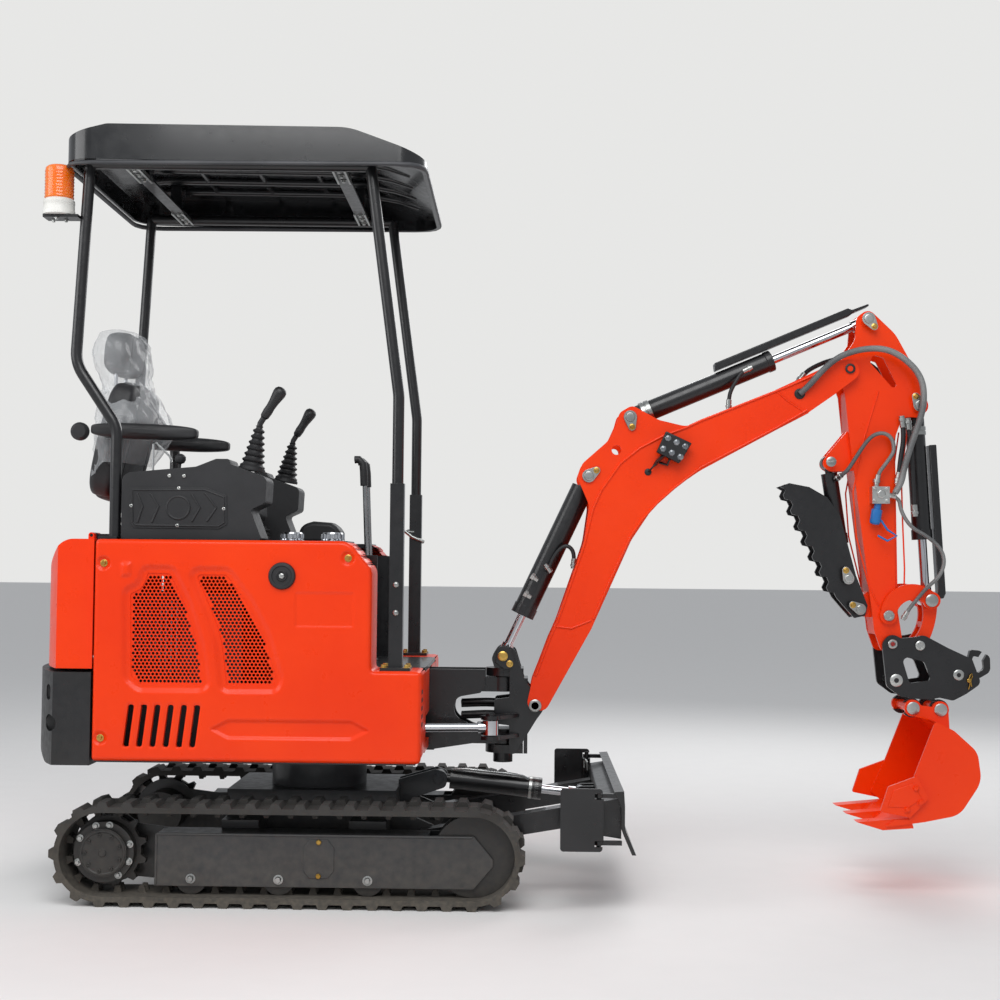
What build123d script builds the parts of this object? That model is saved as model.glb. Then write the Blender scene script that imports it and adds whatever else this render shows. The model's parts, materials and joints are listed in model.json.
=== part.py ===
from build123d import *
import math
import os

# Mini excavator with canopy, swing boom, hydraulic thumb and quick coupler.
# Millimetres. X forward, Y to the left, Z up from the floor. Pieces are drawn with
# the slewing axis at X = 0, and moved at the end so that the middle is the origin.

# Running gaps
GAP = 0.3
PIN_FIT = 0.05
SIDE_GAP = 3.0

# Tracks
TRACK_HALF_WIDTH = 490.0
BELT_WIDTH = 180.0
BELT_THICKNESS = 16.0
LUG_HEIGHT = 14.0
LUG_LENGTH = 36.0
LUG_TOP_LENGTH = 22.0
LUG_COUNT = 42
SPROCKET_X = -570.0
IDLER_X = 510.0
BELT_RADIUS = 136.0
AXLE_Z = LUG_HEIGHT + BELT_RADIUS
TRACK_Y = TRACK_HALF_WIDTH - BELT_WIDTH / 2
BELT_INNER_RADIUS = BELT_RADIUS - BELT_THICKNESS
GUIDE_INNER = 13.0
GUIDE_OUTER = 24.0
GUIDE_HEIGHT = 20.0
GUIDE_LENGTH = 26.0
ROLLER_RADIUS = 47.0
ROLLER_X = (-314.0, -58.0, 202.0)
FRAME_PLATE_HALF = 50.0
FRAME_PLATE = 6.0
FRAME_TOP_Z = 209.0
FRAME_BOTTOM_Z = 56.0
FRAME_REAR_X = -420.0
FRAME_FRONT_X = 510.0
FRAME_POINT_X = 566.0
MOTOR_COVER_RADIUS = 70.0
MOTOR_BODY_RADIUS = 72.0
MOTOR_HUB_RADIUS = 88.0

# Centre frame and slewing ring
SLEW_RADIUS = 150.0
SLEW_BOTTOM_Z = 300.0
SLEW_TOP_Z = 404.0
CENTRE_HALF_LENGTH = 260.0
CENTRE_HALF_WIDTH = 190.0
CENTRE_BOTTOM_Z = 150.0
CROSS_BEAM_X = 190.0
CROSS_BEAM_WIDTH = 110.0
CROSS_BEAM_BOTTOM_Z = 150.0
CROSS_BEAM_TOP_Z = 232.0

# Dozer blade
BLADE_PIVOT = (360.0, 165.0)
BLADE_ARM_Y = 240.0
BLADE_ARM_WIDTH = 60.0
BLADE_ARM_HEIGHT = 62.0
BLADE_BACK_X = 925.0
BLADE_TOP_Z = 346.0
BLADE_BOTTOM_Z = 165.0
BLADE_CYL_BASE = (382.0, 318.0)
BLADE_CYL_ROD = (835.0, 272.0)
BLADE_PIN_RADIUS = 14.0
WING_LENGTH = 112.0
WING_HINGE_X = 872.0
WING_HINGE_Y = TRACK_HALF_WIDTH - 26.0
WING_KNUCKLE = 13.0
WING_PIN = 7.0
WING_BOTTOM_Z = 176.0
WING_TOP_Z = 356.0
WING_THICKNESS = 9.0
WING_LUG = 12.0
WING_LUG_INSET = 16.0

# Slewing body
HOUSE_BOTTOM_Z = 410.0
HOUSE_HALF_WIDTH = 450.0
PANEL_THICKNESS = 12.0
PANEL_REAR_X = -614.0
STEP_FRONT_X = 352.0
STEP_TOP_Z = 684.0
BOX_FRONT_X = 203.0
BOX_TOP_Z = 1064.0
FOOTWELL_REAR_X = -110.0
PANEL_EDGE_RADIUS = 9.0
PRESSED_SLOPE = 40.0
PANEL_BOLTS = ((-587.0, 993.0), (133.0, 1014.0), (-588.0, 481.0))
BOLT_DISH_RADIUS = 21.0
BOLT_DISH_DEPTH = 6.0
RIB_X = (-272.0, 203.0)
RIB_Z = 514.0
RIB_POINT = 66.0
RIB_HALF_HEIGHT = 28.0
RIB_DEPTH = 6.0
GRILLE_LEDGE = 15.0
GRILLE_DEPTH = 7.0
BLANK_AT = (66.0, 862.0)
BLANK_SIZE = (180.0, 102.0)
BLANK_DEPTH = 2.5
BASE_PLATE = 16.0
HOOD_REAR_X = -772.0
HOOD_BOTTOM_Z = 682.0
HOOD_HALF_WIDTH = 433.0
HOOD_HINGE_X = -656.0
HOOD_HINGE_Y = 298.0
HOOD_HINGE_Z = BOX_TOP_Z + 12.0
HINGE_RADIUS = 9.0
HINGE_LUG = 24.0
HINGE_PIN = 5.0
WEIGHT_REAR_X = -862.0
WEIGHT_TOP_Z = 672.0
WEIGHT_BOTTOM_Z = 400.0
WEIGHT_HOLE_DEPTH = 75.0
WEIGHT_ROUND_HOLE = (-746.0, 521.0)
WEIGHT_HOLE_RADIUS = 25.0
WEIGHT_OVAL_HOLE = (-756.0, 610.0)
WEIGHT_OVAL_SIZE = (46.0, 24.0)

# Boom swing post
SWING_X = 586.0
SWING_PIN_RADIUS = 25.0
NOSE_HALF_WIDTH = 56.0
NOSE_TOP_Z = 666.0
NOSE_LUG_TOP_Z = 642.0
NOSE_BOTTOM_Z = 432.0
NOSE_LUG = 46.0
NOSE_LUG_RADIUS = 50.0
JAW_RADIUS = 56.0
JAW_THICKNESS = 26.0
POST_PLATE = 14.0
SWING_CYL_BASE = (-15.0, -235.0)
SWING_CYL_EYE = (549.0, -150.0)
SWING_CYL_Z = 493.0
SWING_EAR_RADIUS = 30.0

# Boom, arm and their pins, as X and Z
BOOM_FOOT = (687.0, 556.0)
BOOM_CYL_ROD = (584.0, 710.0)
BOOM_CYL_BASE = (851.0, 1282.0)
ARM_CYL_BASE = (981.0, 1470.0)
ARM_PIVOT = (1675.0, 1629.0)
ARM_CYL_ROD = (1735.0, 1789.0)
BUCKET_CYL_BASE = (1896.0, 1516.0)
ROCKER_PIVOT = (1799.0, 850.0)
ROCKER_PIN = (1934.0, 899.0)
BUCKET_PIVOT = (1810.0, 760.0)
LINK_PIN = (1899.0, 756.0)
THUMB_PIVOT = (1713.0, 868.0)
THUMB_CYL_ROD = (1676.0, 964.0)
THUMB_CYL_BASE = (1620.0, 1335.0)
LIFTING_EYE = (938.0, 1365.0)
LIFTING_EYE_RADIUS = 15.0
PIN_RADIUS = 15.0
BOOM_HALF_WIDTH = 84.0
BOOM_SIDE = 9.0
BOOM_WEB = 8.0
ARM_HALF_WIDTH = 58.0
ARM_SIDE = 8.0
ROCKER_PLATE = 14.0
LINK_PLATE = 12.0

# Plates of the swing post lie just inside the boom's side plates
POST_PLATE_Y = BOOM_HALF_WIDTH - BOOM_SIDE - SIDE_GAP - POST_PLATE

# Cylinders
EYE_RADIUS = 25.0
EYE_HALF_WIDTH = 22.0
BOOM_BARREL_RADIUS = 36.0
BOOM_BARREL_LENGTH = 490.0
BOOM_ROD_START = 190.0
ARM_BARREL_RADIUS = 32.0
ARM_BARREL_LENGTH = 500.0
ARM_ROD_START = 330.0
BUCKET_BARREL_RADIUS = 30.0
BUCKET_BARREL_LENGTH = 425.0
BUCKET_ROD_START = 200.0
THUMB_BARREL_RADIUS = 26.0
THUMB_BARREL_LENGTH = 262.0
THUMB_ROD_START = 62.0
SWING_BARREL_RADIUS = 30.0
SWING_BARREL_LENGTH = 350.0
SWING_ROD_START = 170.0
BLADE_BARREL_RADIUS = 32.0
BLADE_BARREL_LENGTH = 330.0
BLADE_ROD_START = 200.0
ROD_RADIUS = 14.0

# Thumb
THUMB_INNER_Y = 34.0
THUMB_PLATE = 10.0
THUMB_PIN = 12.0
THUMB_CYL_PIN = 10.0
THUMB_EYE_HALF = 18.0
THUMB_EYE_RADIUS = 22.0

# Quick coupler and bucket
COUPLER_PLATE_Y = 62.0
COUPLER_PLATE = 12.0
BUCKET_PIN_FRONT = (1870.0, 562.0)
BUCKET_PIN_BACK = (1956.0, 558.0)
BUCKET_PIN_RADIUS = 16.0
BUCKET_EAR_Y = 78.0
BUCKET_EAR = 14.0
BUCKET_HALF_WIDTH = 200.0
BUCKET_SHELL = 8.0
TOOTH_TIP = (1674.0, 222.0)

# Seat, consoles and canopy
SEAT_HALF_WIDTH = 215.0
CONSOLE_INNER_Y = 262.0
CONSOLE_OUTER_Y = 400.0
POST_RADIUS = 17.0
POST_Y = 385.0
ROOF_HALF_WIDTH = 462.0
ROOF_LIP_Z = 2172.0
ROOF_TOP_Z = 2296.0
ROOF_SHELL = 12.0
ROOF_REAR_X = -735.0
ROOF_BEAM_X = (-540.0, 80.0)
ROOF_BEAM_Z = 2184.0
ROOF_FRONT_X = 345.0
SLEEVE_HALF = 20.5
SLEEVE_TOP_Z = 1237.0


# Outlines and simple forms

def outline(corners):
    """Closed face in the X-Z plane from (x, z) or (x, z, radius) corners."""
    sketch = make_face(Polyline(*[(c[0], c[1]) for c in corners], close=True))
    for corner in corners:
        if len(corner) == 3:
            at = Vector(corner[0], corner[1], 0)
            point = min(sketch.vertices(), key=lambda v: (Vector(v.X, v.Y, v.Z) - at).length)
            sketch = fillet(point, corner[2])
    return sketch


def across(sketch, y_low, y_high):
    """Extrude a sketch of the X-Z plane from y_low to y_high."""
    return Pos(0, y_high, 0) * extrude(Plane.XZ * sketch, amount=y_high - y_low)


def upward(sketch, z_low, z_high):
    """Extrude a sketch of the X-Y plane from z_low to z_high."""
    return Pos(0, 0, z_low) * extrude(sketch, amount=z_high - z_low)


def block(x_low, x_high, y_low, y_high, z_low, z_high):
    """Plain box between two corners."""
    middle = ((x_low + x_high) / 2, (y_low + y_high) / 2, (z_low + z_high) / 2)
    return Pos(*middle) * Box(x_high - x_low, y_high - y_low, z_high - z_low)


def rod_y(at, radius, y_low, y_high):
    """Round bar along Y through (x, z)."""
    return Pos(at[0], (y_low + y_high) / 2, at[1]) * Rot(90, 0, 0) * Cylinder(radius, y_high - y_low)


def rod_z(x, y, radius, z_low, z_high):
    """Round bar along Z."""
    return Pos(x, y, (z_low + z_high) / 2) * Cylinder(radius, z_high - z_low)


def mirrored(shape):
    """The same piece on the other side of the machine."""
    return mirror(shape, about=Plane.XZ)


def both_sides(shape):
    """A piece and its mirror image."""
    return shape + mirrored(shape)


def bent_tube(points, bends, radius):
    """Tube along straight runs with a bend radius at each inner corner."""
    path = FilletPolyline(*points, radius=bends) if len(points) > 2 else Line(*points)
    start = Plane(origin=path @ 0, z_dir=path % 0)
    return sweep(start * Circle(radius), path=path)


def disc(at, radius):
    """Circle of the X-Z plane at (x, z)."""
    return Pos(at[0], at[1]) * Circle(radius)


def mouth(a, b, web):
    """Rectangle that opens the end a-b of a box section between its two webs."""
    angle = math.degrees(math.atan2(b[1] - a[1], b[0] - a[0]))
    width = math.hypot(b[0] - a[0], b[1] - a[1]) - 2.2 * web
    return Pos((a[0] + b[0]) / 2, (a[1] + b[1]) / 2) * Rot(0, 0, angle) * Rectangle(width, 3 * web)


# Cylinders

def place_xz(shape, base, tip, y=0.0):
    """Move a shape drawn along +X from the origin so that it runs from base to tip."""
    angle = math.degrees(math.atan2(tip[1] - base[1], tip[0] - base[0]))
    return Pos(base[0], y, base[1]) * Rot(0, -angle, 0) * shape


def barrel_shape(length, radius, bore, half_width, eye_radius=EYE_RADIUS, guard=None):
    """Cylinder barrel with its eye at the origin and its gland at the other end."""
    neck = 0.55 * eye_radius
    start = eye_radius + 12
    tube = Pos((start + length) / 2, 0, 0) * Rot(0, 90, 0) * Cylinder(radius, length - start)
    gland = Pos(length - 16, 0, 0) * Rot(0, 90, 0) * Cylinder(radius + 2.5, 32)
    stem = Pos(start / 2 + 4, 0, 0) * Rot(0, 90, 0) * Cylinder(neck, start + 6)
    body = tube + gland + stem + Rot(90, 0, 0) * Cylinder(eye_radius, 2 * half_width)
    body -= Rot(90, 0, 0) * Cylinder(bore, 2 * half_width + 2)
    bore_length = length - start - 20
    hollow = Pos(length - bore_length / 2, 0, 0) * Rot(0, 90, 0)
    body -= hollow * Cylinder(ROD_RADIUS + 1.0, bore_length + 1)
    if guard is not None:
        body += guard
    return body


def rod_shape(length, inside, bore, half_width, eye_radius=EYE_RADIUS):
    """Cylinder rod from inside the barrel to its eye, drawn from the barrel's pin."""
    bar = Pos((inside + length) / 2, 0, 0) * Rot(0, 90, 0) * Cylinder(ROD_RADIUS, length - inside)
    head = Pos(length - eye_radius, 0, 0) * Rot(0, 90, 0) * Cylinder(ROD_RADIUS + 5, 30)
    body = bar + head + Pos(length, 0, 0) * Rot(90, 0, 0) * Cylinder(eye_radius, 2 * half_width)
    return body - Pos(length, 0, 0) * Rot(90, 0, 0) * Cylinder(bore, 2 * half_width + 2)


def span(a, b):
    return math.hypot(b[0] - a[0], b[1] - a[1])


# Tracks

def belt_spot(share):
    """Point and outward angle on the belt's outer line, share from 0 to 1."""
    straight = IDLER_X - SPROCKET_X
    half_turn = math.pi * BELT_RADIUS
    s = (share % 1.0) * (2 * straight + 2 * half_turn)
    if s < straight:
        return IDLER_X - s, AXLE_Z + BELT_RADIUS, 90.0
    s -= straight
    if s < half_turn:
        a = 90.0 + math.degrees(s / BELT_RADIUS)
        centre = SPROCKET_X
    else:
        s -= half_turn
        if s < straight:
            return SPROCKET_X + s, AXLE_Z - BELT_RADIUS, 270.0
        s -= straight
        a = 270.0 + math.degrees(s / BELT_RADIUS)
        centre = IDLER_X
    x = centre + BELT_RADIUS * math.cos(math.radians(a))
    z = AXLE_Z + BELT_RADIUS * math.sin(math.radians(a))
    return x, z, a


def stadium(radius):
    """Round-ended slot shape about the two axles."""
    slot = SlotCenterToCenter(IDLER_X - SPROCKET_X, 2 * radius)
    return Pos((IDLER_X + SPROCKET_X) / 2, AXLE_Z) * slot


def lugs(offset):
    """Outer lugs, each a tapered block standing on the belt."""
    tooth = make_face(Polyline(
        (-4, -LUG_LENGTH / 2), (0, -LUG_LENGTH / 2), (LUG_HEIGHT, -LUG_TOP_LENGTH / 2),
        (LUG_HEIGHT, LUG_TOP_LENGTH / 2), (0, LUG_LENGTH / 2), (-4, LUG_LENGTH / 2), close=True))
    placed = []
    for i in range(LUG_COUNT):
        x, z, angle = belt_spot((i + offset) / LUG_COUNT)
        placed.append(Pos(x, z) * Rot(0, 0, angle) * tooth)
    return placed


def guides():
    """Inner guide teeth, standing towards the wheels."""
    root = -BELT_THICKNESS + 3
    top = -BELT_THICKNESS - GUIDE_HEIGHT
    tooth = make_face(Polyline(
        (root, -GUIDE_LENGTH / 2), (top, -GUIDE_LENGTH / 4),
        (top, GUIDE_LENGTH / 4), (root, GUIDE_LENGTH / 2), close=True))
    placed = []
    for i in range(LUG_COUNT):
        x, z, angle = belt_spot((i + 0.5) / LUG_COUNT)
        placed.append(Pos(x, z) * Rot(0, 0, angle) * tooth)
    return placed


def rubber_track():
    """Left rubber track: belt, staggered lugs and guide teeth in one loop."""
    loop = stadium(BELT_RADIUS) - stadium(BELT_INNER_RADIUS)
    outer = Sketch() + [loop] + lugs(0.0)
    inner = Sketch() + [loop] + lugs(0.5)
    teeth = Sketch() + guides()
    ridge = across(teeth, TRACK_Y + GUIDE_INNER, TRACK_Y + GUIDE_OUTER)
    ridge += across(teeth, TRACK_Y - GUIDE_OUTER, TRACK_Y - GUIDE_INNER)
    belt = across(outer, TRACK_Y, TRACK_HALF_WIDTH)
    belt += across(inner, TRACK_Y - BELT_WIDTH / 2, TRACK_Y)
    return belt + ridge


def side_frame():
    """Left track frame: two plates and a top plate, with the motor plate at the back."""
    middle_z = (FRAME_TOP_Z + FRAME_BOTTOM_Z) / 2
    side = outline([
        (FRAME_REAR_X, FRAME_BOTTOM_Z), (FRAME_REAR_X, FRAME_TOP_Z, 8),
        (FRAME_FRONT_X, FRAME_TOP_Z, 12), (FRAME_POINT_X, middle_z + 10, 6),
        (FRAME_POINT_X, middle_z - 10, 6), (FRAME_FRONT_X, FRAME_BOTTOM_Z, 8)])
    outer_face = TRACK_Y + FRAME_PLATE_HALF
    inner_face = TRACK_Y - FRAME_PLATE_HALF
    frame = across(side, outer_face - FRAME_PLATE, outer_face)
    motor_plate = disc((SPROCKET_X, AXLE_Z), 104)
    motor_plate += outline([
        (SPROCKET_X, AXLE_Z - 80), (SPROCKET_X, AXLE_Z + 80),
        (FRAME_REAR_X + 20, FRAME_TOP_Z), (FRAME_REAR_X + 20, FRAME_BOTTOM_Z)])
    motor_plate -= disc((SPROCKET_X, AXLE_Z), MOTOR_BODY_RADIUS + GAP)
    frame += across(side, inner_face, inner_face + FRAME_PLATE)
    frame += across(motor_plate, inner_face, inner_face + FRAME_PLATE)
    top_end = IDLER_X - BELT_INNER_RADIUS - 12
    frame += block(FRAME_REAR_X + 8, top_end, inner_face, outer_face, FRAME_TOP_Z - 10, FRAME_TOP_Z)
    frame += block(FRAME_REAR_X, FRAME_REAR_X + 8, inner_face, outer_face,
                   FRAME_BOTTOM_Z, FRAME_TOP_Z - 8)
    for x in ROLLER_X:
        frame += rod_y((x, ROLLER_RADIUS + BELT_THICKNESS + LUG_HEIGHT + 1), 9,
                       outer_face - 1, outer_face + 6)
    return frame


def travel_motor():
    """Left travel motor: gear case, toothed sprocket and cover."""
    hub = rod_y((SPROCKET_X, AXLE_Z), MOTOR_HUB_RADIUS, TRACK_Y - 40, TRACK_Y + 48)
    hub += rod_y((SPROCKET_X, AXLE_Z), MOTOR_COVER_RADIUS, TRACK_Y + 48, TRACK_Y + 62)
    hub += rod_y((SPROCKET_X, AXLE_Z), MOTOR_BODY_RADIUS, TRACK_Y - 150, TRACK_Y - 40)
    wheel = disc((SPROCKET_X, AXLE_Z), 100)
    teeth = 12
    tooth = make_face(Polyline((96, -15), (BELT_INNER_RADIUS - 2, -6),
                               (BELT_INNER_RADIUS - 2, 6), (96, 15), close=True))
    for i in range(teeth):
        wheel += Pos(SPROCKET_X, AXLE_Z) * Rot(0, 0, (i + 0.5) * 360 / teeth) * tooth
    return hub + across(wheel, TRACK_Y - GUIDE_INNER + 2, TRACK_Y + GUIDE_INNER - 2)


def front_idler():
    """Left front idler: two rims on a hub, with its axle between the frame plates."""
    at = (IDLER_X, AXLE_Z)
    wheel = rod_y(at, 80, TRACK_Y - 40, TRACK_Y + 40)
    for side in (-1, 1):
        low = TRACK_Y + side * (GUIDE_OUTER + 10) - 7
        wheel += rod_y(at, BELT_INNER_RADIUS - 0.5, low, low + 14)
    reach = FRAME_PLATE_HALF - FRAME_PLATE
    return wheel + rod_y(at, 22, TRACK_Y - reach, TRACK_Y + reach)


def track_rollers():
    """Left bottom rollers, each two flanges on an axle between the frame plates."""
    reach = FRAME_PLATE_HALF - FRAME_PLATE
    parts = []
    for x in ROLLER_X:
        at = (x, ROLLER_RADIUS + BELT_THICKNESS + LUG_HEIGHT + 0.5)
        roller = rod_y(at, 22, TRACK_Y - reach, TRACK_Y + reach)
        for side in (-1, 1):
            middle = TRACK_Y + side * (GUIDE_OUTER + 10)
            roller += rod_y(at, ROLLER_RADIUS, middle - 7, middle + 7)
        parts.append(roller)
    return parts


def centre_frame():
    """Centre frame between the tracks with the slewing ring on top."""
    body = block(-CENTRE_HALF_LENGTH, CENTRE_HALF_LENGTH, -CENTRE_HALF_WIDTH, CENTRE_HALF_WIDTH,
                 CENTRE_BOTTOM_Z, CENTRE_BOTTOM_Z + 12)
    top = upward(Rectangle(2 * CENTRE_HALF_LENGTH, 2 * CENTRE_HALF_WIDTH), SLEW_BOTTOM_Z - 14, SLEW_BOTTOM_Z)
    body += top
    for y in (-CENTRE_HALF_WIDTH, CENTRE_HALF_WIDTH - 12):
        body += block(-CENTRE_HALF_LENGTH, CENTRE_HALF_LENGTH, y, y + 12, CENTRE_BOTTOM_Z, SLEW_BOTTOM_Z)
    for x in (-CENTRE_HALF_LENGTH, CENTRE_HALF_LENGTH - 12):
        body += block(x, x + 12, -CENTRE_HALF_WIDTH, CENTRE_HALF_WIDTH, CENTRE_BOTTOM_Z, SLEW_BOTTOM_Z)
    ring = Circle(SLEW_RADIUS) - Circle(SLEW_RADIUS - 45)
    body += upward(ring, SLEW_BOTTOM_Z - 2, SLEW_TOP_Z - 30)
    body += upward(Circle(SLEW_RADIUS - 12) - Circle(SLEW_RADIUS - 45), SLEW_TOP_Z - 32, SLEW_TOP_Z)
    reach = TRACK_Y - FRAME_PLATE_HALF
    for x in (-CROSS_BEAM_X, CROSS_BEAM_X):
        low = x - CROSS_BEAM_WIDTH / 2
        beam = block(low, low + CROSS_BEAM_WIDTH, CENTRE_HALF_WIDTH - 2, reach,
                     CROSS_BEAM_BOTTOM_Z, CROSS_BEAM_TOP_Z)
        body += both_sides(beam)
    lug = outline([
        (CENTRE_HALF_LENGTH - 4, CENTRE_BOTTOM_Z - 10), (CENTRE_HALF_LENGTH - 4, 250),
        (BLADE_PIVOT[0] + 20, BLADE_PIVOT[1] + 34, 20), (BLADE_PIVOT[0] + 34, BLADE_PIVOT[1], 20),
        (BLADE_PIVOT[0] + 20, BLADE_PIVOT[1] - 30, 18)])
    lug -= disc(BLADE_PIVOT, BLADE_PIN_RADIUS + PIN_FIT)
    inner = BLADE_ARM_Y - BLADE_ARM_WIDTH / 2 - SIDE_GAP
    plate = across(lug, inner - 14, inner)
    plate += block(CENTRE_HALF_LENGTH - 60, CENTRE_HALF_LENGTH, CENTRE_HALF_WIDTH - 2, inner,
                   CENTRE_BOTTOM_Z, 250)
    body += both_sides(plate)
    horn = outline([
        (CENTRE_HALF_LENGTH - 4, 240), (CENTRE_HALF_LENGTH - 4, SLEW_BOTTOM_Z + 14),
        (BLADE_CYL_BASE[0] - 8, BLADE_CYL_BASE[1] + 30, 14),
        (BLADE_CYL_BASE[0] + 28, BLADE_CYL_BASE[1] + 18, 20),
        (BLADE_CYL_BASE[0] + 26, BLADE_CYL_BASE[1] - 26, 20)])
    horn_y = EYE_HALF_WIDTH + SIDE_GAP
    body += both_sides(across(horn, horn_y, horn_y + 12))
    body += rod_y(BLADE_CYL_BASE, PIN_RADIUS, -horn_y - 18, horn_y + 18)
    return body


# Dozer blade

def blade_profile():
    """Section of the blade: a bent plate whose foot carries the cutting edge."""
    x = BLADE_BACK_X
    return outline([
        (x - 9, BLADE_TOP_Z), (x + 19, BLADE_TOP_Z + 2), (x + 22, BLADE_TOP_Z - 40, 60),
        (x + 22, 240, 60), (x + 55, BLADE_BOTTOM_Z), (x + 43, BLADE_BOTTOM_Z),
        (x + 12, 236, 60), (x + 12, BLADE_TOP_Z - 42, 60)])


def dozer_blade():
    """Blade with its stiffening box and two arms."""
    half = TRACK_HALF_WIDTH - WING_THICKNESS - 4
    body = across(blade_profile(), -half, half)
    box_front = BLADE_BACK_X + 14
    box = outline([
        (box_front - 62, 214, 8), (box_front - 62, 312, 8), (box_front, 322), (box_front, 205)])
    cavity = outline([
        (box_front - 54, 222), (box_front - 54, 304), (box_front - 8, 312), (box_front - 8, 214)])
    body += across(box, -half + 40, half - 40)
    body -= across(cavity, -half + 48, half - 48)
    start = BLADE_PIVOT
    end = (box_front - 58, 256)
    length = span(start, end)
    arm = Pos(length / 2, 0, 0) * Box(length, BLADE_ARM_WIDTH, BLADE_ARM_HEIGHT)
    arm += Rot(90, 0, 0) * Cylinder(BLADE_ARM_HEIGHT / 2, BLADE_ARM_WIDTH)
    arm -= Pos(length / 2 + 30, 0, 0) * Box(length - 20, BLADE_ARM_WIDTH - 12, BLADE_ARM_HEIGHT - 12)
    arm = place_xz(arm, start, end, BLADE_ARM_Y)
    inner = BLADE_ARM_Y - BLADE_ARM_WIDTH / 2
    arm += rod_y(BLADE_PIVOT, BLADE_PIN_RADIUS, inner - SIDE_GAP - 24,
                 BLADE_ARM_Y + BLADE_ARM_WIDTH / 2 + 6)
    body += both_sides(arm)
    ear = outline([
        (box_front - 58, 228), (box_front - 58, 300), (BLADE_CYL_ROD[0] - 6, BLADE_CYL_ROD[1] + 27, 20),
        (BLADE_CYL_ROD[0] - 28, BLADE_CYL_ROD[1], 18), (BLADE_CYL_ROD[0] - 6, BLADE_CYL_ROD[1] - 28, 20)])
    ear_y = EYE_HALF_WIDTH + SIDE_GAP
    ears = across(ear, ear_y, ear_y + 12)
    ears += rod_y(BLADE_CYL_ROD, PIN_RADIUS, ear_y, ear_y + 20)
    body += both_sides(ears)
    lug = Pos(WING_HINGE_X, WING_HINGE_Y) * Circle(WING_KNUCKLE)
    lug += Pos((WING_HINGE_X + box_front) / 2, WING_HINGE_Y) * Rectangle(
        box_front - WING_HINGE_X, 1.2 * WING_KNUCKLE)
    for lug_low in (WING_BOTTOM_Z + WING_LUG_INSET, WING_TOP_Z - WING_LUG_INSET - WING_LUG):
        body += both_sides(upward(lug, lug_low, lug_low + WING_LUG))
    pin = rod_z(WING_HINGE_X, WING_HINGE_Y, WING_PIN, WING_BOTTOM_Z + 8, WING_TOP_Z - 8)
    return body + both_sides(pin)


def blade_wing():
    """Left wing plate with its hinge tube, folded back along the machine."""
    plate = outline([
        (WING_HINGE_X - WING_LENGTH, WING_BOTTOM_Z, 10), (WING_HINGE_X - WING_LENGTH, WING_TOP_Z, 10),
        (WING_HINGE_X + 10, WING_TOP_Z, 10), (WING_HINGE_X + 10, WING_BOTTOM_Z, 10)])
    for lug_low in (WING_BOTTOM_Z + WING_LUG_INSET, WING_TOP_Z - WING_LUG_INSET - WING_LUG):
        plate -= Pos(WING_HINGE_X, lug_low + WING_LUG / 2) * Rectangle(
            2 * WING_KNUCKLE, WING_LUG + 2 * SIDE_GAP)
    wing = across(plate, TRACK_HALF_WIDTH - WING_THICKNESS, TRACK_HALF_WIDTH)
    low = WING_BOTTOM_Z + WING_LUG_INSET + WING_LUG + SIDE_GAP
    high = WING_TOP_Z - WING_LUG_INSET - WING_LUG - SIDE_GAP
    wing += rod_z(WING_HINGE_X, WING_HINGE_Y, WING_KNUCKLE, low, high)
    wing += block(WING_HINGE_X - WING_KNUCKLE, WING_HINGE_X + WING_KNUCKLE,
                  WING_HINGE_Y, TRACK_HALF_WIDTH - 2, low, high)
    return wing - rod_z(WING_HINGE_X, WING_HINGE_Y, WING_PIN + PIN_FIT, low - 1, high + 1)


# Slewing body

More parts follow.
